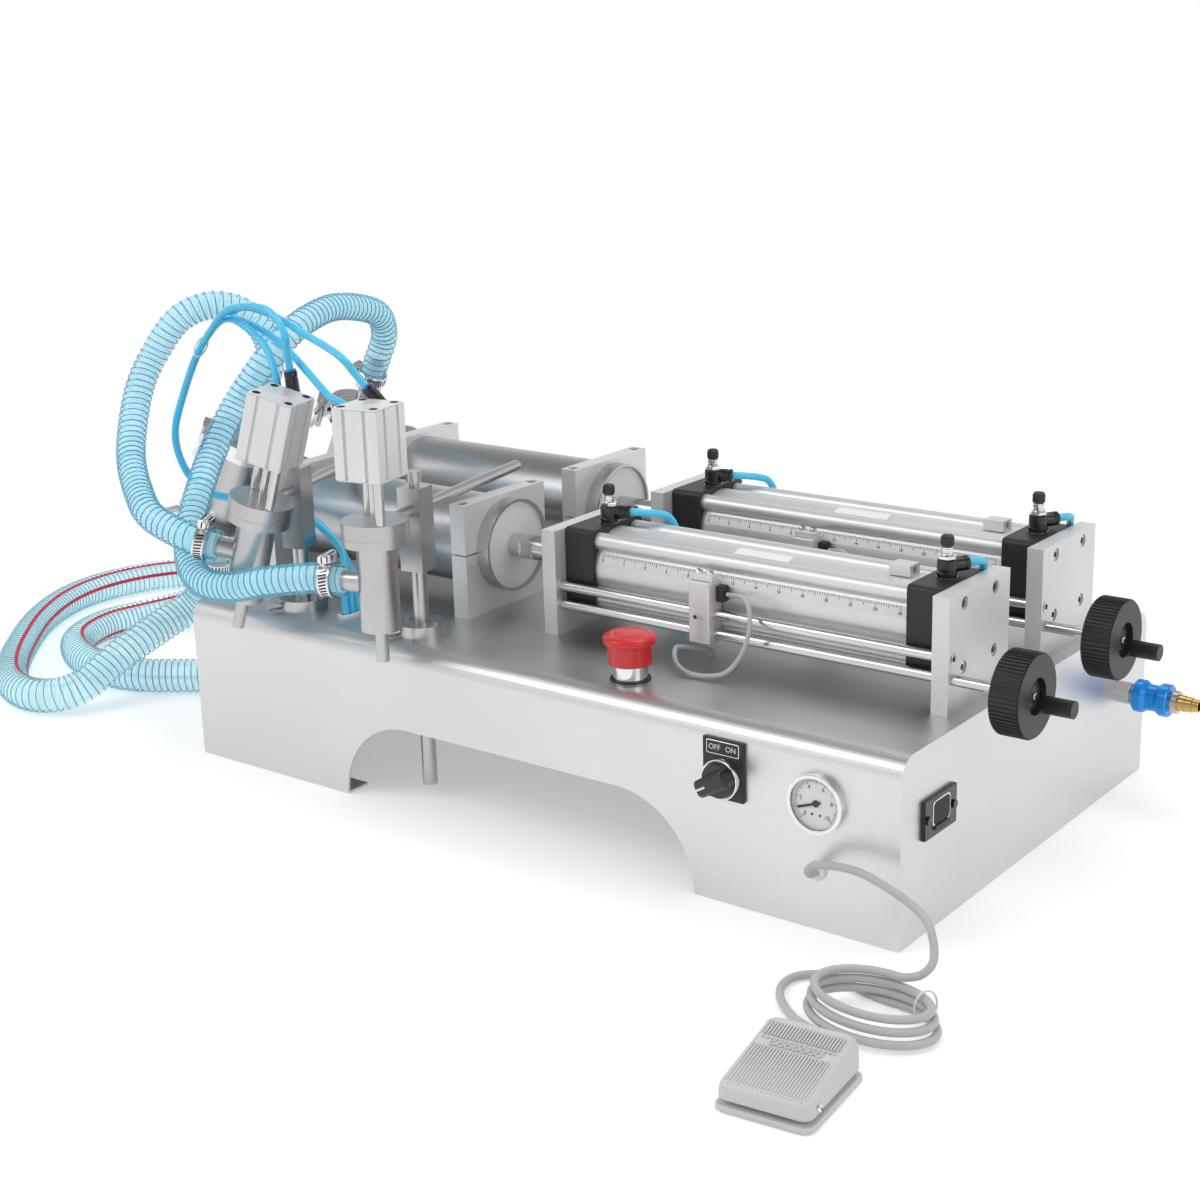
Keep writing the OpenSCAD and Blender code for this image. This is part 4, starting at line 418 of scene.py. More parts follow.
node_mats = {
    "base_housing": steel_sheet, "clamp_plates": plate_mat, "cylinder_plates": plate_mat,
    "material_tubes": steel_tube, "tube_end_caps": steel_tube, "air_barrels": barrel_mat,
    "air_caps": black_mat,
    "machine_screws": steel_bright, "guide_rods": steel_bright, "plunger_a": white_mat,
    "plunger_b": white_mat,
    "piston_rod_a": steel_bright, "piston_rod_b": steel_bright, "lead_screw_a": steel_bright,
    "lead_screw_b": steel_bright, "handwheel_a": black_mat, "handwheel_b": black_mat,
    "estop_collar": chrome_mat, "selector_plate": black_mat, "selector_knob": black_gloss,
    "pressure_gauge": chrome_mat, "gauge_needle": ink_mat, "gauge_glass": glass_mat,
    "power_inlet": black_gloss,
    "air_inlet": steel_turned, "slide_sleeve": blue_metal, "push_in_fitting": brass_mat,
    "cable_grommet": white_mat, "stand_collars": steel_turned, "stand_post_a": steel_turned,
    "stand_post_b": steel_turned, "nozzle_body_a": steel_turned, "nozzle_body_b": steel_turned,
    "nozzle_stem_a": steel_bright, "nozzle_stem_b": steel_bright, "valve_tees": steel_turned,
    "pipe_clamps": chrome_mat, "valve_manifold": plate_mat,
}
spare = {"stainless": steel_turned, "plate_alu": plate_mat, "barrel_alu": barrel_mat,
         "bright_steel": steel_bright,
         "black_plastic": black_mat, "red_plastic": red_mat, "white_plastic": white_mat,
         "grey_plastic": grey_mat,
         "grey_rubber": cable_mat, "chrome": chrome_mat, "brass": brass_mat, "blue_alu": blue_metal,
         "blue_tube": blue_mat, "clear_hose": hose_mat, "window": glass_mat, "dial": label_mat,
         "piston_white": white_mat}
for name, ob in nodes.items():
    for s in ob.material_slots:
        old = s.material.name.split(".")[0] if s.material else ""
        s.material = node_mats.get(name) or spare.get(old, steel_turned)

# -------------------- cords and hoses: routes in mm
FREE_A = [[-364, 79, 322], [-354, 58, 345], [-347, 2, 358], [-339, -46, 353], [-338, -73, 341],
          [-346, -93, 321], [-363, -113, 286], [-361, -143, 254], [-344, -176, 230], [-326, -206, 205],
          [-300, -232, 184], [-266, -248, 176], [-230, -252, 179], [-194, -249, 188]]
FREE_B = [[-366, -65, 318], [-365, -70, 342], [-373, -85, 363], [-390, -106, 371], [-409, -129, 360],
          [-424, -148, 329], [-423, -166, 305], [-410, -188, 277], [-390, -209, 254], [-359, -230, 236],
          [-325, -247, 223]]
FREE_SA = [[-486, -67, 81], [-495, -80, 70], [-501, -103, 61], [-504, -130, 52], [-509, -158, 39],
           [-517, -187, 23], [-532, -208, 17.6], [-560, -216, 16.4], [-598, -204, 16], [-640, -172, 16],
           [-686, -126, 16], [-734, -70, 16], [-768, -14, 16], [-783, 38, 16], [-779, 90, 16],
           [-756, 136, 16], [-712, 168, 16], [-656, 182, 16], [-600, 184, 16]]
FREE_SB = [[-487, 80, 87], [-508, 77, 74], [-545, 69, 56], [-590, 55, 38], [-632, 34, 24], [-660, 4, 17.2],
           [-669, -32, 16.2], [-661, -66, 16], [-644, -92, 16], [-616, -112, 16], [-584, -124, 16],
           [-547, -129, 16], [-513, -123, 16], [-480, -104, 16], [-444, -80, 16], [-404, -62, 16]]


def tee_end(i, up, d):
    """The first stretch of a hose on a tee, upwards or downwards."""
    return [at(on_tee(i), (0, 0, up * s)) for s in (76, 90, 104, 104 + d / 3)]


def port_end(k):
    """The last stretch of a hose in front of a valve's inlet."""
    t = deg(PORT_TURNS[k])
    return [at(on_valve(k), (s * math.cos(t), s * math.sin(t), -45)) for s in (28, 36, 44, 44 + HOSE_D / 2)]


PITCH = 6.0
WALL = 3.0


def wire_hose(name, p, d, wall_mat, stripes=(), blend=None, body="machine", hides=(), first=None, phase=0.0,
              plain=(12.0, 12.0)):
    """A helically ribbed hose with its bore, its wire and its stripes, smooth over its plain ends."""
    p = resample(p, 1.25)
    _, u, w = frames(p, first)
    s = np.r_[0, np.cumsum(np.linalg.norm(np.diff(p, axis=0), axis=1))]
    total = s[-1]
    n, nb = 28, 14                              # sides of the wall and of the bore
    a = np.arange(n) * 2 * math.pi / n
    wave = 0.5 - 0.5 * np.cos(2 * math.pi * (s[:, None] + phase) / PITCH - a[None])
    fade = np.ones(len(s))
    if plain[0]:
        fade *= np.clip((s - plain[0]) / 6, 0, 1)
    if plain[1]:
        fade *= np.clip((total - plain[1] - s) / 6, 0, 1)
    r = d / 2 - 0.75 * wave * fade[:, None]
    outer = p[:, None] + rings(u, w, n) * r[:, :, None]
    m = len(p)
    idx = list(range(0, m - 1, 4)) + [m - 1]
    inner = p[idx][:, None] + rings(u[idx], w[idx], nb) * (d / 2 - WALL)
    kit = Kit()
    wall = quads(m, n)
    base = m * n
    bore = [[q[0], q[3], q[2], q[1]] for q in quads(len(idx), nb, base)]
    kit.v = np.vstack([outer.reshape(-1, 3), inner.reshape(-1, 3)]).tolist()
    kit.f = wall + bore
    kit.m = [2 if q % n in stripes else 0 for q in range(len(wall))] + [1] * len(bore)
    for first_row, b0, flip in ((0, base, False), ((m - 1) * n, base + (len(idx) - 1) * nb, True)):
        for j in range(nb):
            face = [first_row + 2 * j, first_row + 2 * j + 1, first_row + (2 * j + 2) % n,
                    b0 + (j + 1) % nb, b0 + j]
            kit.f.append(face if flip else face[::-1])
            kit.m.append(0)
    hose = kit.build(name, [wall_mat, hose_inner, stripe_mat], "clear_hose", None if blend else body, 60,
                     hides)
    k = np.linspace(0, total, int(total / PITCH * 20))
    pk, uk, wk = (np.stack([np.interp(k, s, q[:, c]) for c in range(3)], 1) for q in (p, u, w))
    ang = 2 * math.pi * (k + phase) / PITCH
    coil = pk + (uk * np.cos(ang)[:, None] + wk * np.sin(ang)[:, None]) * (d / 2 - 0.62)
    wire = Kit().add(tube(coil, 0.55, 4)).build(name + "_wire", [wire_mat], "clear_hose",
                                                None if blend else body, 80)
    if blend:
        for ob in (hose, wire):
            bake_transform(ob)
    return hose, wire, p, total


def m3(p):
    return tuple(float(c) / 1000 for c in p)


def declare(p):
    step = max(1, len(p) // 160)
    path = [m3(q) for q in p[::step]]
    if (len(p) - 1) % step:
        path.append(m3(p[-1]))


def split_at(p, point):
    """The curve before and after the place nearest to point."""
    i = int(np.linalg.norm(p - np.array(point, float), axis=1).argmin())
    return p[:i + 1], p[i:], i


for i, (free, nm) in enumerate(((FREE_SA, "a"), (FREE_SB, "b"))):
    route = smooth(tee_end(i, -1, SUCTION_D) + free, 16)
    stripes = (5, 9) if i == 0 else (3, 24)
    hose, wire, p, total = wire_hose("suction_line_" + nm, route, SUCTION_D, hose_mat, stripes,
                                     hides=("suction_hose_" + nm,), first=(0, -1, 0))
    declare(p)

for k, (i, free, cut_at, bend) in enumerate(((1, FREE_A, (-344, -176, 230), (-252, -251, 177.5)),
                                             (0, FREE_B, (-390, -209, 254), (-390, -209, 254)))):
    nm = "ab"[k]
    route = resample(smooth(tee_end(i, 1, HOSE_D) + free + port_end(k)[::-1], 16), 0.5)
    one, two, j = split_at(route, cut_at)
    _, uu, _ = frames(resample(one, 1.25), (0, -1, 0))
    mid = m3(cut_at)
    start = m3(tee_end(i, 1, HOSE_D)[3])
    shift = length(resample(one, 1.25)) % PITCH
    h1, w1, p1, t1 = wire_hose("delivery_line_" + nm + "_1", one, HOSE_D, feed_mat, blend=(
        "machine", "stand_" + nm, start, mid), hides=("delivery_hose_" + nm,), first=(0, -1, 0),
        plain=(12, 0))
    h2, w2, p2, t2 = wire_hose("delivery_line_" + nm + "_2", two, HOSE_D, feed_mat, blend=(
        "stand_" + nm, "nozzle_" + nm, m3(bend), m3(port_end(k)[2])), hides=("delivery_hose_" + nm,),
        first=uu[-1],
        phase=shift, plain=(0, 12))
    declare(p1)
    declare(p2)

# Foot cable: one cord from the grommet through its coil to the foot switch.
FOOT = move(375, -393, 0) @ rz(6)
CABLE = [[276, -190, 43.5], [276, -200, 43.5], [276, -208, 44], [278, -215, 50], [286, -219, 57],
         [302, -220, 61], [322, -220, 61], [346, -224, 57], [368, -234, 55], [384, -244, 52],
         [393, -252, 42],
         [396, -259, 33], [391, -264, 26], [383, -266.5, 23]]
TAIL = [[350, -265, 3], [330, -259, 3], [313, -262, 3], [303, -274, 3], [304, -290, 3],
        [314, -305, 3], [330, -318, 3], [346, -326, 4], [359, -329, 4], [367, -335, 5]]


def coil_point(t):
    """The coil's centreline after t turns, from the top turn to the floor."""
    a = deg(90 + 360 * t)
    return [371 + t + (38 + 2 * t) * math.cos(a), -291 - 2 * t + (24 + 2 * t) * math.sin(a),
            2.8 + (3 - t) * 6.4]


coil = [coil_point(k / 22) for k in range(67)]
foot_end = [at(FOOT, (0, y, 4.8)) for y in (47, 44)]
cable = np.vstack([smooth(CABLE + [[coil[0][0] + 7, coil[0][1], coil[0][2]], coil[0]], 8)[:-1],
                   smooth(coil, 4)[:-1],
                   smooth([coil[-1], [coil[-1][0] - 7, coil[-1][1], coil[-1][2]]] + TAIL + foot_end, 8)])
i0 = int(np.argmin(np.linalg.norm(cable - np.array((276, -200, 43.5)), axis=1)))
cable = resample(cable[i0:], 1.6)
ob = Kit().add(tube(cable, LEAD_D / 2, 14)).build("foot_lead", [cable_mat], "grey_rubber", "machine", 50,
                                          ("foot_cable", "foot_cable_coil"))
declare(cable)

# Sensor cables.
SENSOR = [[144, -37, 193], [153, -40, 194], [163, -46, 190], [168, -52, 176], [166, -59, 158],
          [157, -66, 144], [143, -71, 140], [127, -72, 140], [113, -67, 144], [106, -58, 151],
          [106, -49, 150],
          [109, -39, 147], [113, -29, 144], [114, -22, 141], [114, -21, 136]]
for i, y in enumerate(LINES):
    start = [120 + 9.25 + 7.3, -SIDE + 8.5 - 4 - 0.6, 192]
    ahead = [start[0] + 3.6, start[1], start[2]]
    p = resample(smooth([[q[0], q[1] + y, q[2]] for q in [start, ahead] + SENSOR], 8), 1.2)
    ob = Kit().add(tube(p, SENSOR_D / 2, 12)).build("sensor_lead_" + "ab"[i], [cable_mat], "grey_rubber",
                                                    None, 50,
                                          ("sensor_cables",))
    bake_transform(ob)
    declare(p[::-1])

# Blue tubes from the cylinders' flow controls into the deck.
DROP_L = [[34, 23, -3], [38, 33, -8], [41, 39, -22], [43, 42, -50], [44, 42, -80], [44, 42, -98]]
DROP_R = [[311, 30, -2], [308, 37, -8], [305, 41, -22], [303, 42, -50], [303, 42, -80], [303, 42, -98]]
for i, y in enumerate(LINES):
    for (x, a), route, nm in zip(FLOW_PORTS, (DROP_L, DROP_R), "12"):
        head = [[x + (17 + s) * math.cos(deg(a)), (17 + s) * math.sin(deg(a)), 0] for s in (0, 7)]
        p = resample(smooth([[q[0], q[1] + y, q[2] + 230] for q in head + route], 8), 1.5)
        ob = Kit().add(tube(p, AIR_D / 2, 16)).build("cylinder_tube_" + "ab"[i] + nm, [blue_mat],
                                                     "blue_tube", "machine", 50,
                                            ("cylinder_air_tubes",))
        declare(p)

# Blue tubes to the nozzle actuators, side by side.
BUNDLE = [[-198, -150, 150], [-208, -142, 166], [-222, -134, 179], [-242, -130, 192], [-268, -130, 206],
          [-311, -132, 214], [-350, -138, 212], [-376, -147, 219], [-388, -156, 242], [-386, -162, 272],
          [-368, -165, 305], [-341, -168, 344], [-316, -168, 369]]
BRANCH = [
    [[-290, -170, 384], [-262, -172, 385.4], [-236, -175, 382.8]],
    [[-294, -169, 374], [-270, -173, 366], [-246, -179, 354]],
    [[-288, -170, 383.8], [-260, -172, 384.6], [-230, -176, 379], [-198, -184, 372], [-170, -194, 368]],
    [[-290, -168, 373], [-258, -173, 369], [-226, -180, 359], [-194, -190, 346], [-166, -200, 335]]]
HEADS = [(1, 46), (1, 10), (0, 46), (0, 10)]
ACT_Z = 37
LEANS = (-45, -22)


def lane_way(mid, i):
    """The way across the bundle at its point i, and along it."""
    t = mid[min(i + 1, len(mid) - 1)] - mid[max(i - 1, 0)]
    t = t / np.linalg.norm(t)
    o = np.array([-0.74, 0.65, -0.18])
    o = o - (o @ t) * t
    o /= np.linalg.norm(o)
    if i == 0:
        o = np.array([0, 1.0, 0])
    elif i == 1:
        o = o + np.array([0, 1.0, 0])
        o /= np.linalg.norm(o)
    return o, t


for j, (k, z) in enumerate(HEADS):
    side = (j - 1.5) * 6.7
    foot = [[-195, -152 + side, h] for h in (125, 137)]
    mid = np.array(BUNDLE + BRANCH[j], float)
    lane = [(mid[i] + side * lane_way(mid, i)[0]).tolist() for i in range(len(mid))]
    head = [at(on_valve(k), (s * math.sin(deg(LEANS[k])), 25.5, ACT_Z + z + s * math.cos(deg(LEANS[k]))))
            for s in (54, 37.8, 24.6)]
    route = resample(smooth(foot + lane + head, 8), 1.0)
    one, two, _ = split_at(route, lane[11])
    nm = "ab"[k]
    for part, p in ((1, one), (2, two)):
        p = resample(p, 1.5)
        ob = Kit().add(tube(p, AIR_D / 2, 14)).build("nozzle_tube_%s_%d_%d" % (nm, z, part), [blue_mat],
                                                     "blue_tube", None,
                                            50, ("nozzle_air_tubes",))
        if part == 1:
            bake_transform(ob)
        else:
            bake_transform(ob)
        declare(p)

mid = np.array(BUNDLE, float)
way, t = lane_way(mid, 11)
flat = np.cross(t, way)
loop = [mid[11] + t * 6 + way * 14.4 * math.cos(a) + flat * 4.4 * math.sin(a)
        for a in np.linspace(0, 2 * math.pi, 41)]
kit = Kit().add(tube(np.array(loop), 0.7, 8), 0)
kit.build("bundle_tie", [white_mat], "white_plastic", "stand_a", 50)

# -------------------- clamps on the hoses
def worm_clamp(kit, place, d):
    """A slotted band with its screw housing, for a hose of diameter d."""
    r = d / 2 + 0.3
    kit.add(lathe([(r, 0), (r + 0.9, 0), (r + 1.2, 0.4), (r + 1.2, 9.6), (r + 0.9, 10), (r, 10), (r, 0)],
                  64), 0, place)
    # The band's slots are painted shade: thin dark marks on the band.
    for s in range(26):
        a = 38 + s * 11.0
        slot = prism(rounded(0.16, 1.3, 0.05, 1), 0, 6.4, 0.02)
        kit.add(slot, 1, place @ rz(a) @ move(r + 1.22, 0, 1.8) @ rx(14))
    box = place @ move(r + 1.0, 0, 5)
    kit.add(block(7.5, 13.5, 9.0, 2.2, 0.5), 0, box @ move(3.5, 0, -4.5))
    kit.add(rod(3.6, -8.5, 8.5, 0.7, 24), 0, box @ move(4.4, 0, 0) @ rx(90))
    kit.add(hexagon(7.6, 8.4, 12.0, 0.5), 0, box @ move(4.4, 0, 0) @ rx(90))
    # The screw's slot and the lines on the housing are painted shade: thin dark marks.
    kit.add(block(5.8, 1.1, 0.8, 0.3, 0.1), 1, box @ move(4.4, 0, 0) @ rx(90) @ move(0, 0, 11.4))
    for s in range(7):
        kit.add(block(0.5, 7.2, 0.5, 0.1, 0.05), 1, box @ move(6.6 + 0.7, 0, 0) @ ry(90) @ move(0, 0, -0.3)
                @ rz(90) @ move((s - 3) * 1.5, 0, 0))


kit = Kit()
for i in (0, 1):
    for s in (1, -1):
        worm_clamp(kit, on_tee(i) @ rx(0 if s > 0 else 180) @ move(0, 0, 83) @ rz(200), HOSE_D if s > 0
                   else SUCTION_D)
kit.build("tee_hose_clamps", [chrome_mat, recess_shade_mat], "chrome", "machine", 35, ("hose_clamps",))
for k in (0, 1):
    kit = Kit()
    place = on_valve(k) @ rz(PORT_TURNS[k]) @ move(36, 0, -45) @ ry(90) @ rz(180)
    worm_clamp(kit, place, HOSE_D + 0.3)
    kit.build("nozzle_hose_clamp_" + "ab"[k], [chrome_mat, recess_shade_mat], "chrome", "nozzle_" + "ab"[k], 35)

# -------------------- actuators
def grooved_square(w, r=2.0, gw=3.2, gd=2.4, out=9.0):
    """A square outline with two grooves gw wide and gd deep in each side."""
    side = []
    h = w / 2
    for s in (-out, out):
        side += [(h, s - gw / 2), (h - gd, s - gw / 2), (h - gd, s + gw / 2), (h, s + gw / 2)]
    pts = []
    for q in range(4):
        a = deg(90 * q)
        c, sn = math.cos(a), math.sin(a)
        pts += [(x * c - y * sn, x * sn + y * c) for x, y in side]
        for k in range(4):
            b = deg(90 * k / 3)
            x, y = h - r + r * math.cos(b), h - r + r * math.sin(b)
            pts.append((x * c - y * sn, x * sn + y * c))
    return pts


def flat_prism(outline, z0, z1):
    m = len(outline)
    v = [(x, y, z) for z in (z0, z1) for x, y in outline]
    return v, quads(2, m) + [list(range(m))[::-1], [m + k for k in range(m)]]


for k in (0, 1):
    nm = "ab"[k]
    place = on_valve(k)
    kit = Kit()
    kit.add(flat_prism(grooved_square(40), ACT_Z + 1.2, ACT_Z + 54.8), 0, place)
    kit.add(prism(rounded(39.2, 39.2, 2.5, 4), ACT_Z, ACT_Z + 1.3, 0.5), 0, place)
    kit.add(prism(rounded(39.2, 39.2, 2.5, 4), ACT_Z + 54.7, ACT_Z + 56, 0.5), 0, place)
    kit.add(lathe([(0, 56.1), (9.5, 56.1), (10, 55.9), (10.6, 55.9), (10.9, 56.05), (11.2, 55.9)], 40), 1,
            place @ move(0, 0, ACT_Z))
    for sx in (-1, 1):
        for sy in (-1, 1):
            # The screw recesses and their hex sockets on the cap are painted shade: near-black discs.
            kit.add(lathe([(0, 56.03), (2.7, 56.03), (3.1, 56.2), (3.4, 56.0)], 20), 2,
                    place @ move(sx * 14.2, sy * 14.2, ACT_Z))
            kit.add(hexagon(2.4, 56.0, 56.22, 0.03), 2, place @ move(sx * 14.2, sy * 14.2, ACT_Z))
    kit.build("actuator_body_" + nm, [act_mat, act_mat, recess_shade_mat], "barrel_alu", "nozzle_" + nm, 30,
              ("actuator_" + nm,))
    kit = Kit()
    for s in (-1, 1):
        kit.add(rod(4, 5, ACT_Z + 0.5, 0.3, 28), 0, place @ move(s * 15, -s * 15, 0))
    kit.build("actuator_pillars_" + nm, [steel_bright], "bright_steel", "nozzle_" + nm)
    kit = Kit()
    for z in (10, 46):
        base = place @ move(0, 20, ACT_Z + z)
        kit.add(lathe([(0, 0), (4.2, 0), (4.2, 1), (5.4, 1.4), (5.5, 5.2), (5.2, 5.5), (5.2, 10.6),
                       (4.4, 11), (0, 11)],
                      28), 0, base @ rx(-90))
        arm = base @ move(0, 5.5, 0) @ ry(LEANS[k])
        kit.add(lathe([(0, -5), (4.8, -5), (5.3, -4), (5.3, 17.2), (5.0, 17.6), (5.0, 18.4), (5.3, 18.8),
                       (5.3, 22.6),
                       (4.9, 23.2), (3.2, 23.3), (3.2, 20)], 28), 0, arm)
        kit.add(lathe([(3.2, 23.2), (4.6, 23.3), (4.8, 24.2), (4.4, 24.8), (3.2, 24.8), (3.2, 23.2)], 28),
                1, arm)
        # The fitting's bore is painted shade: a dark disc at its end.
        kit.add(rod(2.4, 10.9, 11.6, 0.2, 16), 2, base @ rx(-90))
    kit.build("actuator_elbows_" + nm, [black_gloss, blue_metal, recess_shade_mat], "black_plastic", "nozzle_" + nm,
              35)

# -------------------- flow controls
kit, necks = Kit(), Kit()
for y in LINES:
    for x, a in FLOW_PORTS:
        base = move(x, y, 222)
        kit.add(lathe([(0, 0), (6.4, 0), (7, 0.5), (7, 3.2), (6.5, 3.8), (6.5, 5), (7, 5.5), (7, 12.2),
                       (6.3, 13),
                       (2.1, 13)], 36), 0, base)
        for s in range(24):
            kit.add(block(0.7, 0.9, 2.6, 0.2, 0.1), 0, base @ rz(15 * s) @ move(6.9, 0, 0.4))
        arm = base @ rz(a) @ move(0, 0, 8) @ ry(90)
        kit.add(lathe([(0, 3), (5.0, 3), (5.4, 4), (5.4, 12), (4.9, 12.6), (4.9, 13.4), (5.4, 14),
                       (5.4, 16.2),
                       (4.9, 16.8), (3.2, 17), (3.2, 14)], 32), 0, arm)
        necks.add(hexagon(11.4, 13, 15.8, 0.4), 0, base)
        necks.add(lathe([(2.1, 13.2), (4.3, 15.8), (4.5, 16.2), (4.5, 17.4), (3.8, 17.8), (3.8, 18.6),
                         (4.5, 19),
                         (4.5, 20.4), (3.8, 20.8), (3.8, 21.4), (4.3, 21.8), (4.0, 22), (2.1, 22),
                         (2.1, 13.2)], 28),
                  0, base)
        necks.add(lathe([(0, -0.1), (7.6, -0.1), (7.6, 0.2), (0, 0.2)], 32), 0, base)
kit.build("flow_control_bodies", [black_gloss], "black_plastic", "machine", 35, ("flow_controls",))
necks.build("flow_control_necks", [chrome_mat], "chrome", "machine", 30)
for k, y in enumerate(LINES):
    for n, (x, _) in enumerate(FLOW_PORTS, 1):
        kit = Kit()
        base = move(x, y, 235)
        kit.add(lathe([(0, 0.4), (2, 0.4), (2, 9.3), (0, 9.3)], 16), 0, base)
        kit.add(lathe([(0, 9.3), (4.2, 9.3), (4.6, 9.7), (4.6, 15.6), (4.1, 16.8), (3.2, 17.3), (0, 17.3)],
                      32), 1, base)
        for s in range(20):
            kit.add(block(0.5, 0.7, 5.6, 0.15, 0.1), 1, base @ rz(18 * s) @ move(4.55, 0, 9.9))
        # The slot in the cap's top is painted shade: a thin dark bar.
        kit.add(block(5.4, 0.9, 0.12, 0.2, 0.03), 2, base @ rz(25) @ move(0, 0, 17.26))
        body = "knob_" + "ab"[k] + str(n)
        kit.build("flow_knob_cap_" + "ab"[k] + str(n), [steel_bright, black_gloss, recess_shade_mat],
                  "black_plastic", body, 35,
                  ("flow_knob_" + "ab"[k] + str(n),))

# -------------------- sensor brackets
for i, y in enumerate(LINES):
    kit = Kit()
    yc = y - SIDE
    y0 = yc - 8.5
    kit.add(prism(rounded(18.5, 17, 1.2, 3, 120, yc), 154.5, 201.5, 0.6), 0)
    kit.add(prism(rounded(18.5, 9, 0.8, 3, 120, yc), 201.6, 206.4, 0.5), 0)
    for s in (-1, 1):
        kit.add(lathe([(0, 0), (2.9, 0), (3, 0.4), (2.8, 1.9), (2.0, 2.9), (0, 3)], 24), 1,
                move(120 + 5 * s, yc, 206.3))
        # The screws' slots are painted shade: thin dark bars.
        kit.add(block(4.4, 0.8, 0.3, 0.2, 0.05), 2, move(120 + 5 * s, yc, 209.1) @ rz(30 * s))
    kit.add(lathe([(0, 0), (2, 0), (2, 4), (1.6, 5), (0, 5)], 20), 1, move(120, y0, 176.5) @ rx(90))
    # This screw's slot is painted shade: a thin dark bar.
    kit.add(block(2.6, 0.6, 0.3, 0.1, 0.05), 2, move(120, y0, 176.5) @ rx(90) @ move(0, 0, 4.85))
    kit.add(prism(rounded(6.6, 8, 0.8, 3, 132.6, y0 + 13), 186, 198, 0.6), 3)
    kit.add(lathe([(0, 0), (2.2, 0), (2.2, 1.0), (1.9, 1.5)], 20), 3, move(135.8, yc + 3.9, 192) @ ry(90))
    kit.build("sensor_bracket_body_" + "ab"[i], [plate_mat, chrome_mat, recess_shade_mat, black_mat], "plate_alu",
              "bracket_" + "ab"[i], 30, ("sensor_bracket_" + "ab"[i],))

# -------------------- barrels' scales and bare labels
def on_barrel(y, r, a, x):
    """A point at radius r and angle a on the barrel of line y."""
    return (x, y - r * math.cos(deg(a)), AXIS_Z + r * math.sin(deg(a)))


def curved_strip(y, x0, x1, a0, a1, r, n=6):
    """A thin strip on a barrel, from angle a0 to a1."""
    v, f = [], []
    for k in range(n + 1):
        a = a0 + (a1 - a0) * k / n
        for rr in (r, r + 0.12):
            v += [on_barrel(y, rr, a, x0), on_barrel(y, rr, a, x1)]
    for k in range(n):
        b = 4 * k
        f += [[b + 2, b + 3, b + 7, b + 6], [b, b + 4, b + 5, b + 1], [b, b + 2, b + 6, b + 4],
              [b + 1, b + 5, b + 7, b + 3]]
    f += [[0, 1, 3, 2], [4 * n, 4 * n + 2, 4 * n + 3, 4 * n + 1]]
    return v, f


def words(text, size, place, mat, name, body, spacing=1.0):
    cu = bpy.data.curves.new(name, "FONT")
    cu.body = text
    cu.size = size / 1000
    cu.align_x = "CENTER"
    cu.align_y = "CENTER"
    cu.extrude = 0.00008
    cu.space_character = spacing
    tmp = bpy.data.objects.new(name + "_tmp", cu)
    scene.collection.objects.link(tmp)
    bpy.context.view_layer.update()
    me = bpy.data.meshes.new_from_object(tmp.evaluated_get(bpy.context.evaluated_depsgraph_get()))
    bpy.data.objects.remove(tmp)
    full = place.copy()
    full.translation = full.translation / 1000
    me.transform(full)
    me.materials.clear()
    me.materials.append(mat)
    ob = bpy.data.objects.new(name, me)
    scene.collection.objects.link(ob)
    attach(ob, body)
    return ob


for i, y in enumerate(LINES):
    kit = Kit()
    kit.add(curved_strip(y, 14, 283, 13, 29, 29.62), 0)
    kit.add(curved_strip(y, 128, 176, 66, 84, 29.62, 4), 0)
    for s in range(0, 261, 2):
        long = s % 10 == 0
        kit.add(curved_strip(y, 18 + s - 0.18, 18 + s + 0.18, 29 - (7.5 if long else 4.2), 28.6, 29.76, 2),
                1)
    kit.build("barrel_scale_" + "ab"[i], [label_mat, ink_mat], "white_plastic", "machine", 30)
    for s in range(0, 261, 20):
        p = on_barrel(y, 29.86, 18.2, 18 + s)
        words(str(s // 10), 3.2, move(*p) @ rx(90 - 18.2), ink_mat, "scale_%s_%03d" % ("ab"[i], s),
              "machine")

# -------------------- stop button
STOP = move(94.6, -163.4, BASE_H)
kit = Kit()
kit.add(lathe([(0, 5), (7.75, 5), (7.75, 23.8), (13.7, 23.8), (13.7, 13.2), (14.1, 12.8), (16.1, 12.8),
               (16.5, 13.2),
               (16.5, 27.2), (16.7, 28.0), (18.9, 28.3), (19.5, 28.8), (19.7, 29.5), (19.7, 31.9),
               (19.4, 33.1),
               (18.6, 34.0), (17.2, 34.6), (14.8, 35.1), (13.6, 35.2), (13.0, 34.9), (12.2, 34.8),
               (11.4, 35.1),
               (8.0, 35.6), (4.0, 35.75), (0, 35.8)], 72), 0, STOP)
kit.build("stop_head", [red_mat], "red_plastic", "stop", 40, ("estop_button",))
kit = Kit()
kit.add(lathe([(13.1, 0), (14.9, 0), (15.2, 0.4), (15.2, 1.4), (14.8, 1.8), (13.1, 1.8), (13.1, 0)], 56), 0,
        STOP)
kit.build("stop_gasket", [black_mat], "black_plastic", "machine", 35)

# -------------------- selector
SEL = move(202, -200, 96) @ rx(90)
kit = Kit()
kit.add(lathe([(13.2, 3), (14.8, 3), (15.0, 3.4), (15.0, 7.2), (14.6, 8.2), (13.9, 8.5), (13.2, 8.3),
               (13.2, 3)], 56), 0,
        SEL)
kit.build("selector_bezel", [chrome_mat], "chrome", "machine", 35)
kit = Kit()
kit.add(prism(rounded(33.6, 44.4, 2.6, 5, 0, 6), 0.05, 3.1, 0.7), 0, SEL)
kit.add(prism(rounded(27, 10, 1, 4, 0, 21.6), 3.05, 3.25, 0.08), 1, SEL)
kit.add(prism(rounded(26, 9, 0.8, 4, 0, 21.6), 3.2, 3.3, 0.04), 0, SEL)
kit.build("selector_legend", [black_mat, chrome_mat], "black_plastic", "machine", 35)
words("OFF", 5.6, SEL @ move(-6.6, 21.6, 3.36), print_mat, "legend_off", "machine")
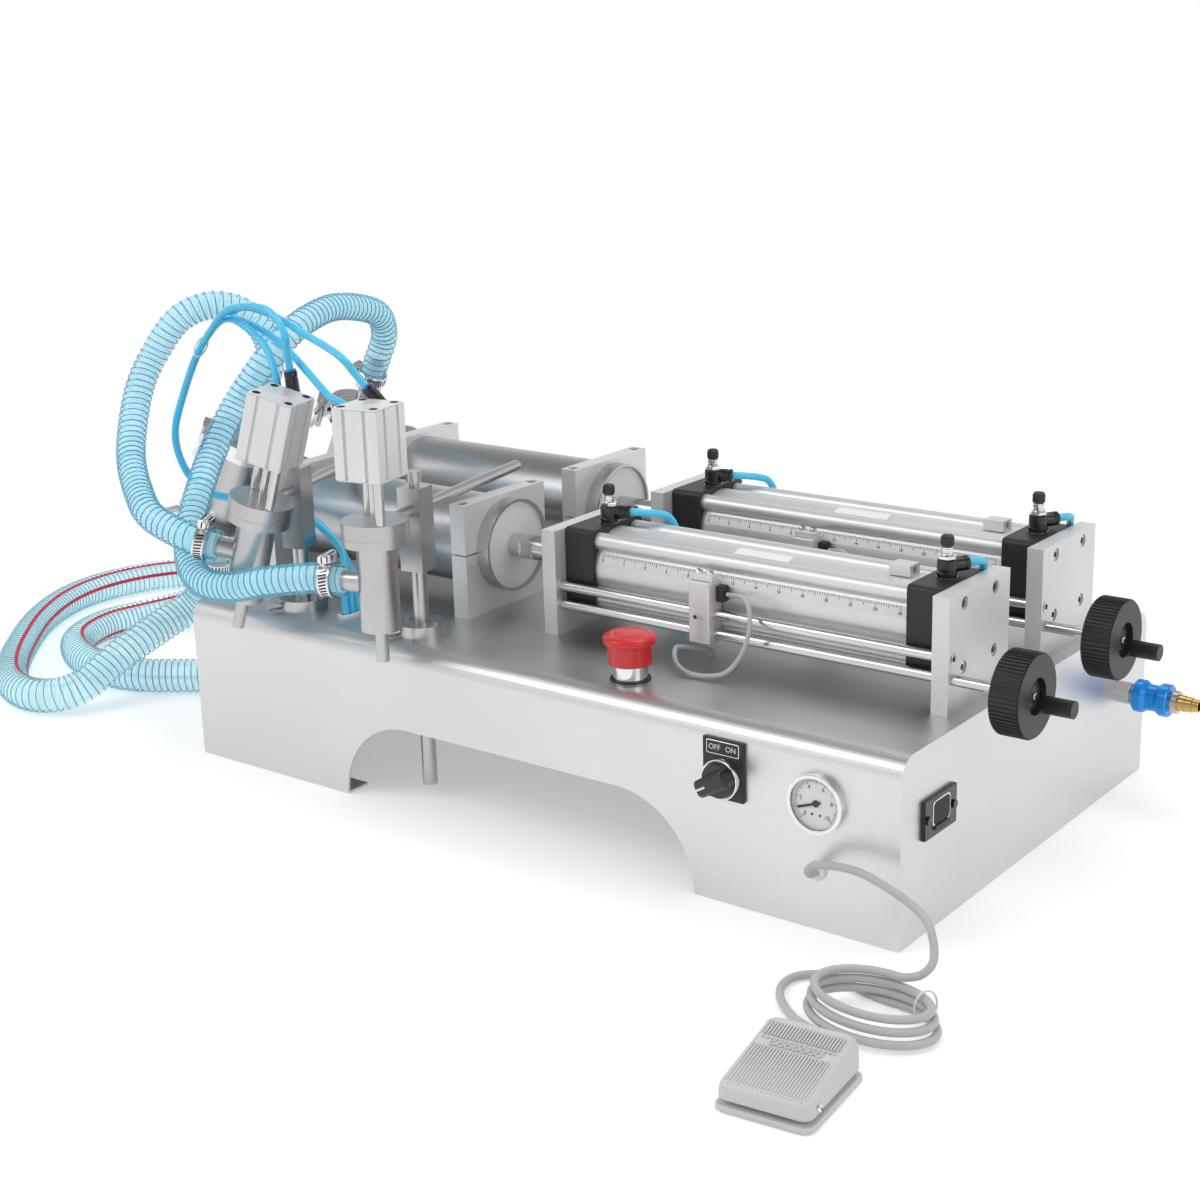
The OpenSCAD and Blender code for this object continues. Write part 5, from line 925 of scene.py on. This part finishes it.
words("ON", 5.6, SEL @ move(6.8, 21.6, 3.36), print_mat, "legend_on", "machine")
kit = Kit()
KNOB = SEL @ rz(30)
kit.add(prism(rounded(28.6, 13, 4, 6), 9.0, 20.3, 2.0), 0, KNOB)
kit.add(lathe([(0, 3.4), (12.8, 3.4), (13, 3.8), (13, 10.2), (12.2, 11.4), (0, 11.8)], 56), 0, SEL)
kit.add(prism(rounded(8, 1.6, 0.5, 3, -8.4, 0), 20.26, 20.42, 0.05), 1, KNOB)
kit.build("selector_handle", [black_gloss, print_mat], "black_plastic", "selector", 35, ("selector_knob",))

# -------------------- gauge
GAUGE = move(276.5, -200, 93.5) @ rx(90)
kit = Kit()
kit.add(lathe([(1.3, 1.84), (18.35, 1.84), (18.35, 1.98), (1.3, 1.98), (1.3, 1.84)], 64), 0, GAUGE)
for s in range(51):
    a = 225 - 270 * s / 50
    big = s % 5 == 0
    kit.add(prism(rounded(2.9 if big else 1.9, 0.5 if big else 0.3, 0.05, 1), 0, 0.06, 0.01), 1,
            GAUGE @ rz(a) @ move(16.2 - (0.5 if big else 0), 0, 1.97))
for sx in (-1, 1):
    kit.add(lathe([(0, 2.1), (0.9, 2.1), (1.0, 1.98)], 16), 1, GAUGE @ move(sx * 3.2, -8.2, 0))
kit.build("gauge_dial", [label_mat, ink_mat], "dial", "machine", 30)
for s in range(6):
    a = 225 - 270 * s / 5
    words(str(2 * s), 4.2, GAUGE @ move(12.3 * math.cos(deg(a)), 12.3 * math.sin(deg(a)), 2.05), ink_mat,
          "gauge_number_%d" % s, "machine")
kit = Kit()
kit.add(lathe([(18.5, 1.9), (18.5, 4.4), (18.9, 5.2), (19.6, 5.5), (20.9, 5.3), (21.5, 4.6), (21.6, 3.6),
               (21.6, 0.1),
               (18.5, 0.1)], 72), 0, GAUGE)
# A thin dark ring in the bezel's inner wall is painted shade in the gap.
kit.add(lathe([(18.3, 4.1), (18.55, 4.1), (18.55, 4.6), (18.3, 4.6), (18.3, 4.1)], 72), 1, GAUGE)
kit.build("gauge_bezel", [chrome_mat, recess_shade_mat], "dial", "machine", 35)

# -------------------- sockets in the ends of the guide rods
kit = Kit()
for y in LINES:
    end = move(325, y - SIDE, AXIS_Z - 13) @ ry(90)
    kit.add(lathe([(2.3, 0), (3.5, 0), (3.9, 0.05), (3.9, 0.3), (3.6, 0.5), (2.3, 0.5), (2.3, 0)], 28), 0,
            end)
    # The sockets' bottoms are painted shade: dark hexagons.
    kit.add(lathe([(0, 0), (2.3, 0), (2.3, 0.12), (0, 0.12)], 6), 1, end)
kit.build("rod_end_sockets", [steel_bright, recess_shade_mat], "bright_steel", "machine", 35)

# -------------------- hubs of the handwheels
for i, y in enumerate(LINES):
    kit = Kit()
    hub = move(388, y - SIDE, AXIS_Z - 28) @ ry(90)
    kit.add(lathe([(0, -8.6), (12.8, -8.6), (12.8, -4.6), (12.2, -4.0), (8.6, -4.0), (8.2, -3.2),
                   (7.6, -2.8), (0, -2.8)],
                  56), 0, hub)
    kit.add(lathe([(0, -2.9), (2.4, -2.9), (2.4, -1.6), (2.0, -1.2), (0, -1.2)], 24), 1, hub)
    kit.build("wheel_hub_" + "ab"[i], [black_mat, steel_bright], "black_plastic", "wheel_" + "ab"[i], 35)

# -------------------- power inlet
INLET = move(340, -150, 84.5) @ ry(90) @ rz(90)
kit = Kit()
kit.add(prism(rounded(24.6, 19.4, 4.2, 6, 0, 2.2), 2.9, 3.5, 0.25), 1, INLET)
# A dark sheet in the socket's opening is painted shade of its cavity.
kit.add(prism(rounded(22.2, 16.6, 3.4, 6, 0, 2.2), 3.4, 3.7, 0.1), 2, INLET)
kit.add(prism(rounded(20, 3.6, 0.8, 4, 0, -8.4), 3.8, 4.5, 0.25), 0, INLET)
for px, py in ((-7, 0.4), (0, 4.2), (7, 0.4)):
    kit.add(block(2.0, 4.0, 11.0, 0.5, 0.3), 1, INLET @ move(px, py, -9.0))
kit.build("inlet_frame", [black_mat, steel_bright, recess_shade_mat], "black_plastic", "machine", 35)

# -------------------- foot switch
W, L = 61.0, 73.0
kit = Kit()
rows = []
for g, z in ((0.9, 0.0), (0.0, 0.10), (0.0, 0.35), (0.2, 0.62), (0.9, 0.84), (2.0, 0.94), (3.8, 1.0)):
    rows.append((rounded(W - 2 * g, L - 2 * g, 7.0 - 0.4 * g, 6), z))


def lid(y):
    t = (y + L / 2) / L
    return 17 + 13 * t - (3.4 * max(0, (t - 0.88) / 0.12) ** 2)


m = len(rows[0][0])
v, f = [], []
for outline, h in rows:
    v += [(x * (1 - 0.02 * h), y, 7.2 + (lid(y) - 7.2) * h) for x, y in outline]
f += quads(len(rows), m)
f.append(list(range(m))[::-1])
top = (len(rows) - 1) * m
half = m // 2
f += [[top + k, top + k + 1, top + m - 2 - k, top + m - 1 - k] for k in range(0, half - 1)]
kit.add((v, f), 0, FOOT)
slope = math.degrees(math.atan2(13, L))


def on_lid(x, y, up=0.0):
    return FOOT @ move(x, y, lid(y) + up) @ rx(slope)


for k in range(26):
    x = (k - 12.5) * 2.04
    kit.add(prism(rounded(1.0, 36, 0.3, 2, 0, 0), -0.5, 0.6, 0.15), 0, on_lid(x, -13))
    kit.add(prism(rounded(1.0, 13, 0.3, 2, 0, 0), -0.5, 0.6, 0.15), 0, on_lid(x, 21))
for k in range(16):
    x = (k - 7.5) * 3.1
    for y in (12.2, -32.4):
        kit.add(lathe([(0, 0.75), (0.5, 0.65), (0.8, 0.2), (0.85, -0.4)], 10), 0, on_lid(x, y))
for k in range(7):
    ring = [(2.1 * math.cos(deg(60 * q)), 2.1 * math.sin(deg(60 * q)), 0.25) for q in range(7)]
    kit.add(tube(smooth(ring, 2), 0.45, 6), 0, on_lid((k - 3) * 4.9, 8.4))
kit.build("pedal_shell", [grey_mat], "grey_plastic", "pedal", 35, ("foot_pedal",))
kit = Kit()
kit.add(prism(rounded(64, 76, 7.5, 6), 0, 4, 1.0), 0, FOOT)
kit.add(prism(rounded(50, 60, 4, 4), 3.5, 12, 0.5), 0, FOOT @ move(0, 2, 0))
kit.add(lathe([(0, 0), (6.4, 0), (6.4, 3), (5.2, 5), (4.0, 6), (0, 6)], 28), 0,
        FOOT @ move(0, 37.5, 6.5) @ rx(-90))
kit.build("switch_base", [grey_mat], "grey_plastic", "machine", 35, ("foot_switch_base",))
kit = Kit()
kit.add(lathe([(0, 0), (2.6, 0), (2.5, 0.7), (1.8, 1.3), (0, 1.5)], 24), 0,
        FOOT @ move(W / 2, -24, 11.5) @ ry(90))
# The screw's slot is painted shade: a thin dark bar.
kit.add(block(3.6, 0.6, 0.2, 0.1, 0.03), 1, FOOT @ move(W / 2 + 1.4, -24, 11.5) @ ry(90) @ rz(35))
kit.build("pedal_screw", [chrome_mat, recess_shade_mat], "chrome", "pedal", 35)

# -------------------- ties
kit = Kit()
c = (np.array(coil_point(0.89)) + np.array(coil_point(2.89))) / 2
t = np.array(coil_point(1.91)) - np.array(coil_point(1.87))
t /= np.linalg.norm(t)
sidev = np.cross(t, (0, 0, 1))
sidev /= np.linalg.norm(sidev)
c[2] = 11.2
loop = [c + sidev * 8.2 * math.cos(a) + np.array((0, 0, 10.3)) * math.sin(a)
        for a in np.linspace(0, 2 * math.pi, 33)]
kit.add(tube(np.array(loop), 0.8, 8, False), 0)
kit.build("cable_tie", [white_mat], "white_plastic", "machine", 50)

# -------------------- floor, lights and world
kit = Kit()
kit.add(([(-6000, -6000, -0.4), (6000, -6000, -0.4), (6000, 6000, -0.4), (-6000, 6000, -0.4)],
         [[0, 1, 2, 3]]))
floor_mat = bpy.data.materials.new("floor")
floor_mat.use_nodes = True
nt = floor_mat.node_tree
nt.nodes.clear()
link = nt.links.new
WHITE = (1, 1, 1, 1)
out = node(nt, "OutputMaterial")
diff = node(nt, "BsdfDiffuse", {"Color": (0.86, 0.86, 0.86, 1)})
glow = node(nt, "Emission", {"Color": WHITE})
both = node(nt, "AddShader")
lp = node(nt, "LightPath")
direct = node(nt, "Math", operation="MAXIMUM")
seen_by = node(nt, "Math", operation="MAXIMUM")
mul = node(nt, "Math", {1: 0.34}, "MULTIPLY")
link(lp.outputs["Is Camera Ray"], direct.inputs[0])
link(lp.outputs["Is Glossy Ray"], direct.inputs[1])
link(direct.outputs[0], seen_by.inputs[0])
link(lp.outputs["Is Transmission Ray"], seen_by.inputs[1])
link(seen_by.outputs[0], mul.inputs[0])
link(mul.outputs[0], glow.inputs["Strength"])
link(diff.outputs[0], both.inputs[0])
link(glow.outputs[0], both.inputs[1])
far = node(nt, "Emission", {"Color": WHITE})
link(seen_by.outputs[0], far.inputs["Strength"])
spot = node(nt, "TexCoord")
reach = node(nt, "VectorMath", operation="LENGTH")
link(spot.outputs["Object"], reach.inputs[0])
edge = node(nt, "MapRange", {"From Min": 0.75, "From Max": 1.5})
edge.interpolation_type = "SMOOTHSTEP"
link(reach.outputs["Value"], edge.inputs["Value"])
whole = node(nt, "MixShader")
link(edge.outputs["Result"], whole.inputs["Fac"])
link(both.outputs[0], whole.inputs[1])
link(far.outputs[0], whole.inputs[2])
link(whole.outputs[0], out.inputs["Surface"])
floor_me = bpy.data.meshes.new("floor")
floor_me.from_pydata((np.array(kit.v) / 1000).tolist(), [], kit.f)
floor_me.materials.append(floor_mat)
floor = bpy.data.objects.new("floor", floor_me)
scene.collection.objects.link(floor)

world = bpy.data.worlds.new("studio")
scene.world = world
world.use_nodes = True
nt = world.node_tree
nt.nodes.clear()
link = nt.links.new
out = node(nt, "OutputWorld")
seen = node(nt, "Background", {"Color": WHITE, "Strength": 1.0})
lit = node(nt, "Background", {"Color": WHITE, "Strength": 0.66})
shine = node(nt, "Background", {"Strength": 1.0})
tc = node(nt, "TexCoord")
sep = node(nt, "SeparateXYZ")
link(tc.outputs["Generated"], sep.inputs[0])
rise = node(nt, "MapRange", {"From Min": 0.06, "From Max": 0.8, "To Min": 1.0, "To Max": 0.3})
rise.interpolation_type = "SMOOTHSTEP"
link(sep.outputs["Z"], rise.inputs["Value"])
link(rise.outputs["Result"], shine.inputs["Color"])
lp = node(nt, "LightPath")
mixa = node(nt, "MixShader")
mixb = node(nt, "MixShader")
either = node(nt, "Math", operation="MAXIMUM")
link(lp.outputs["Is Camera Ray"], either.inputs[0])
link(lp.outputs["Is Transmission Ray"], either.inputs[1])
link(lp.outputs["Is Glossy Ray"], mixa.inputs["Fac"])
link(lit.outputs[0], mixa.inputs[1])
link(shine.outputs[0], mixa.inputs[2])
link(either.outputs[0], mixb.inputs["Fac"])
link(mixa.outputs[0], mixb.inputs[1])
link(seen.outputs[0], mixb.inputs[2])
link(mixb.outputs[0], out.inputs["Surface"])


def lamp(name, where, target, size, power):
    data = bpy.data.lights.new(name, "AREA")
    data.shape = "RECTANGLE"
    data.size, data.size_y = size
    data.energy = power
    ob = bpy.data.objects.new(name, data)
    scene.collection.objects.link(ob)
    ob.location = where
    ob.rotation_euler = (Vector(target) - Vector(where)).to_track_quat("-Z", "Y").to_euler()
    return ob


lamp("key", (-1.4, -1.9, 2.3), (0, 0, 0.15), (1.8, 1.4), 22)
lamp("top", (0.3, 0.9, 2.6), (0, 0, 0.1), (2.4, 1.2), 16)
lamp("side", (2.4, -0.4, 1.2), (0.1, 0, 0.15), (1.2, 1.2), 6)

scene.view_settings.view_transform = "Standard"
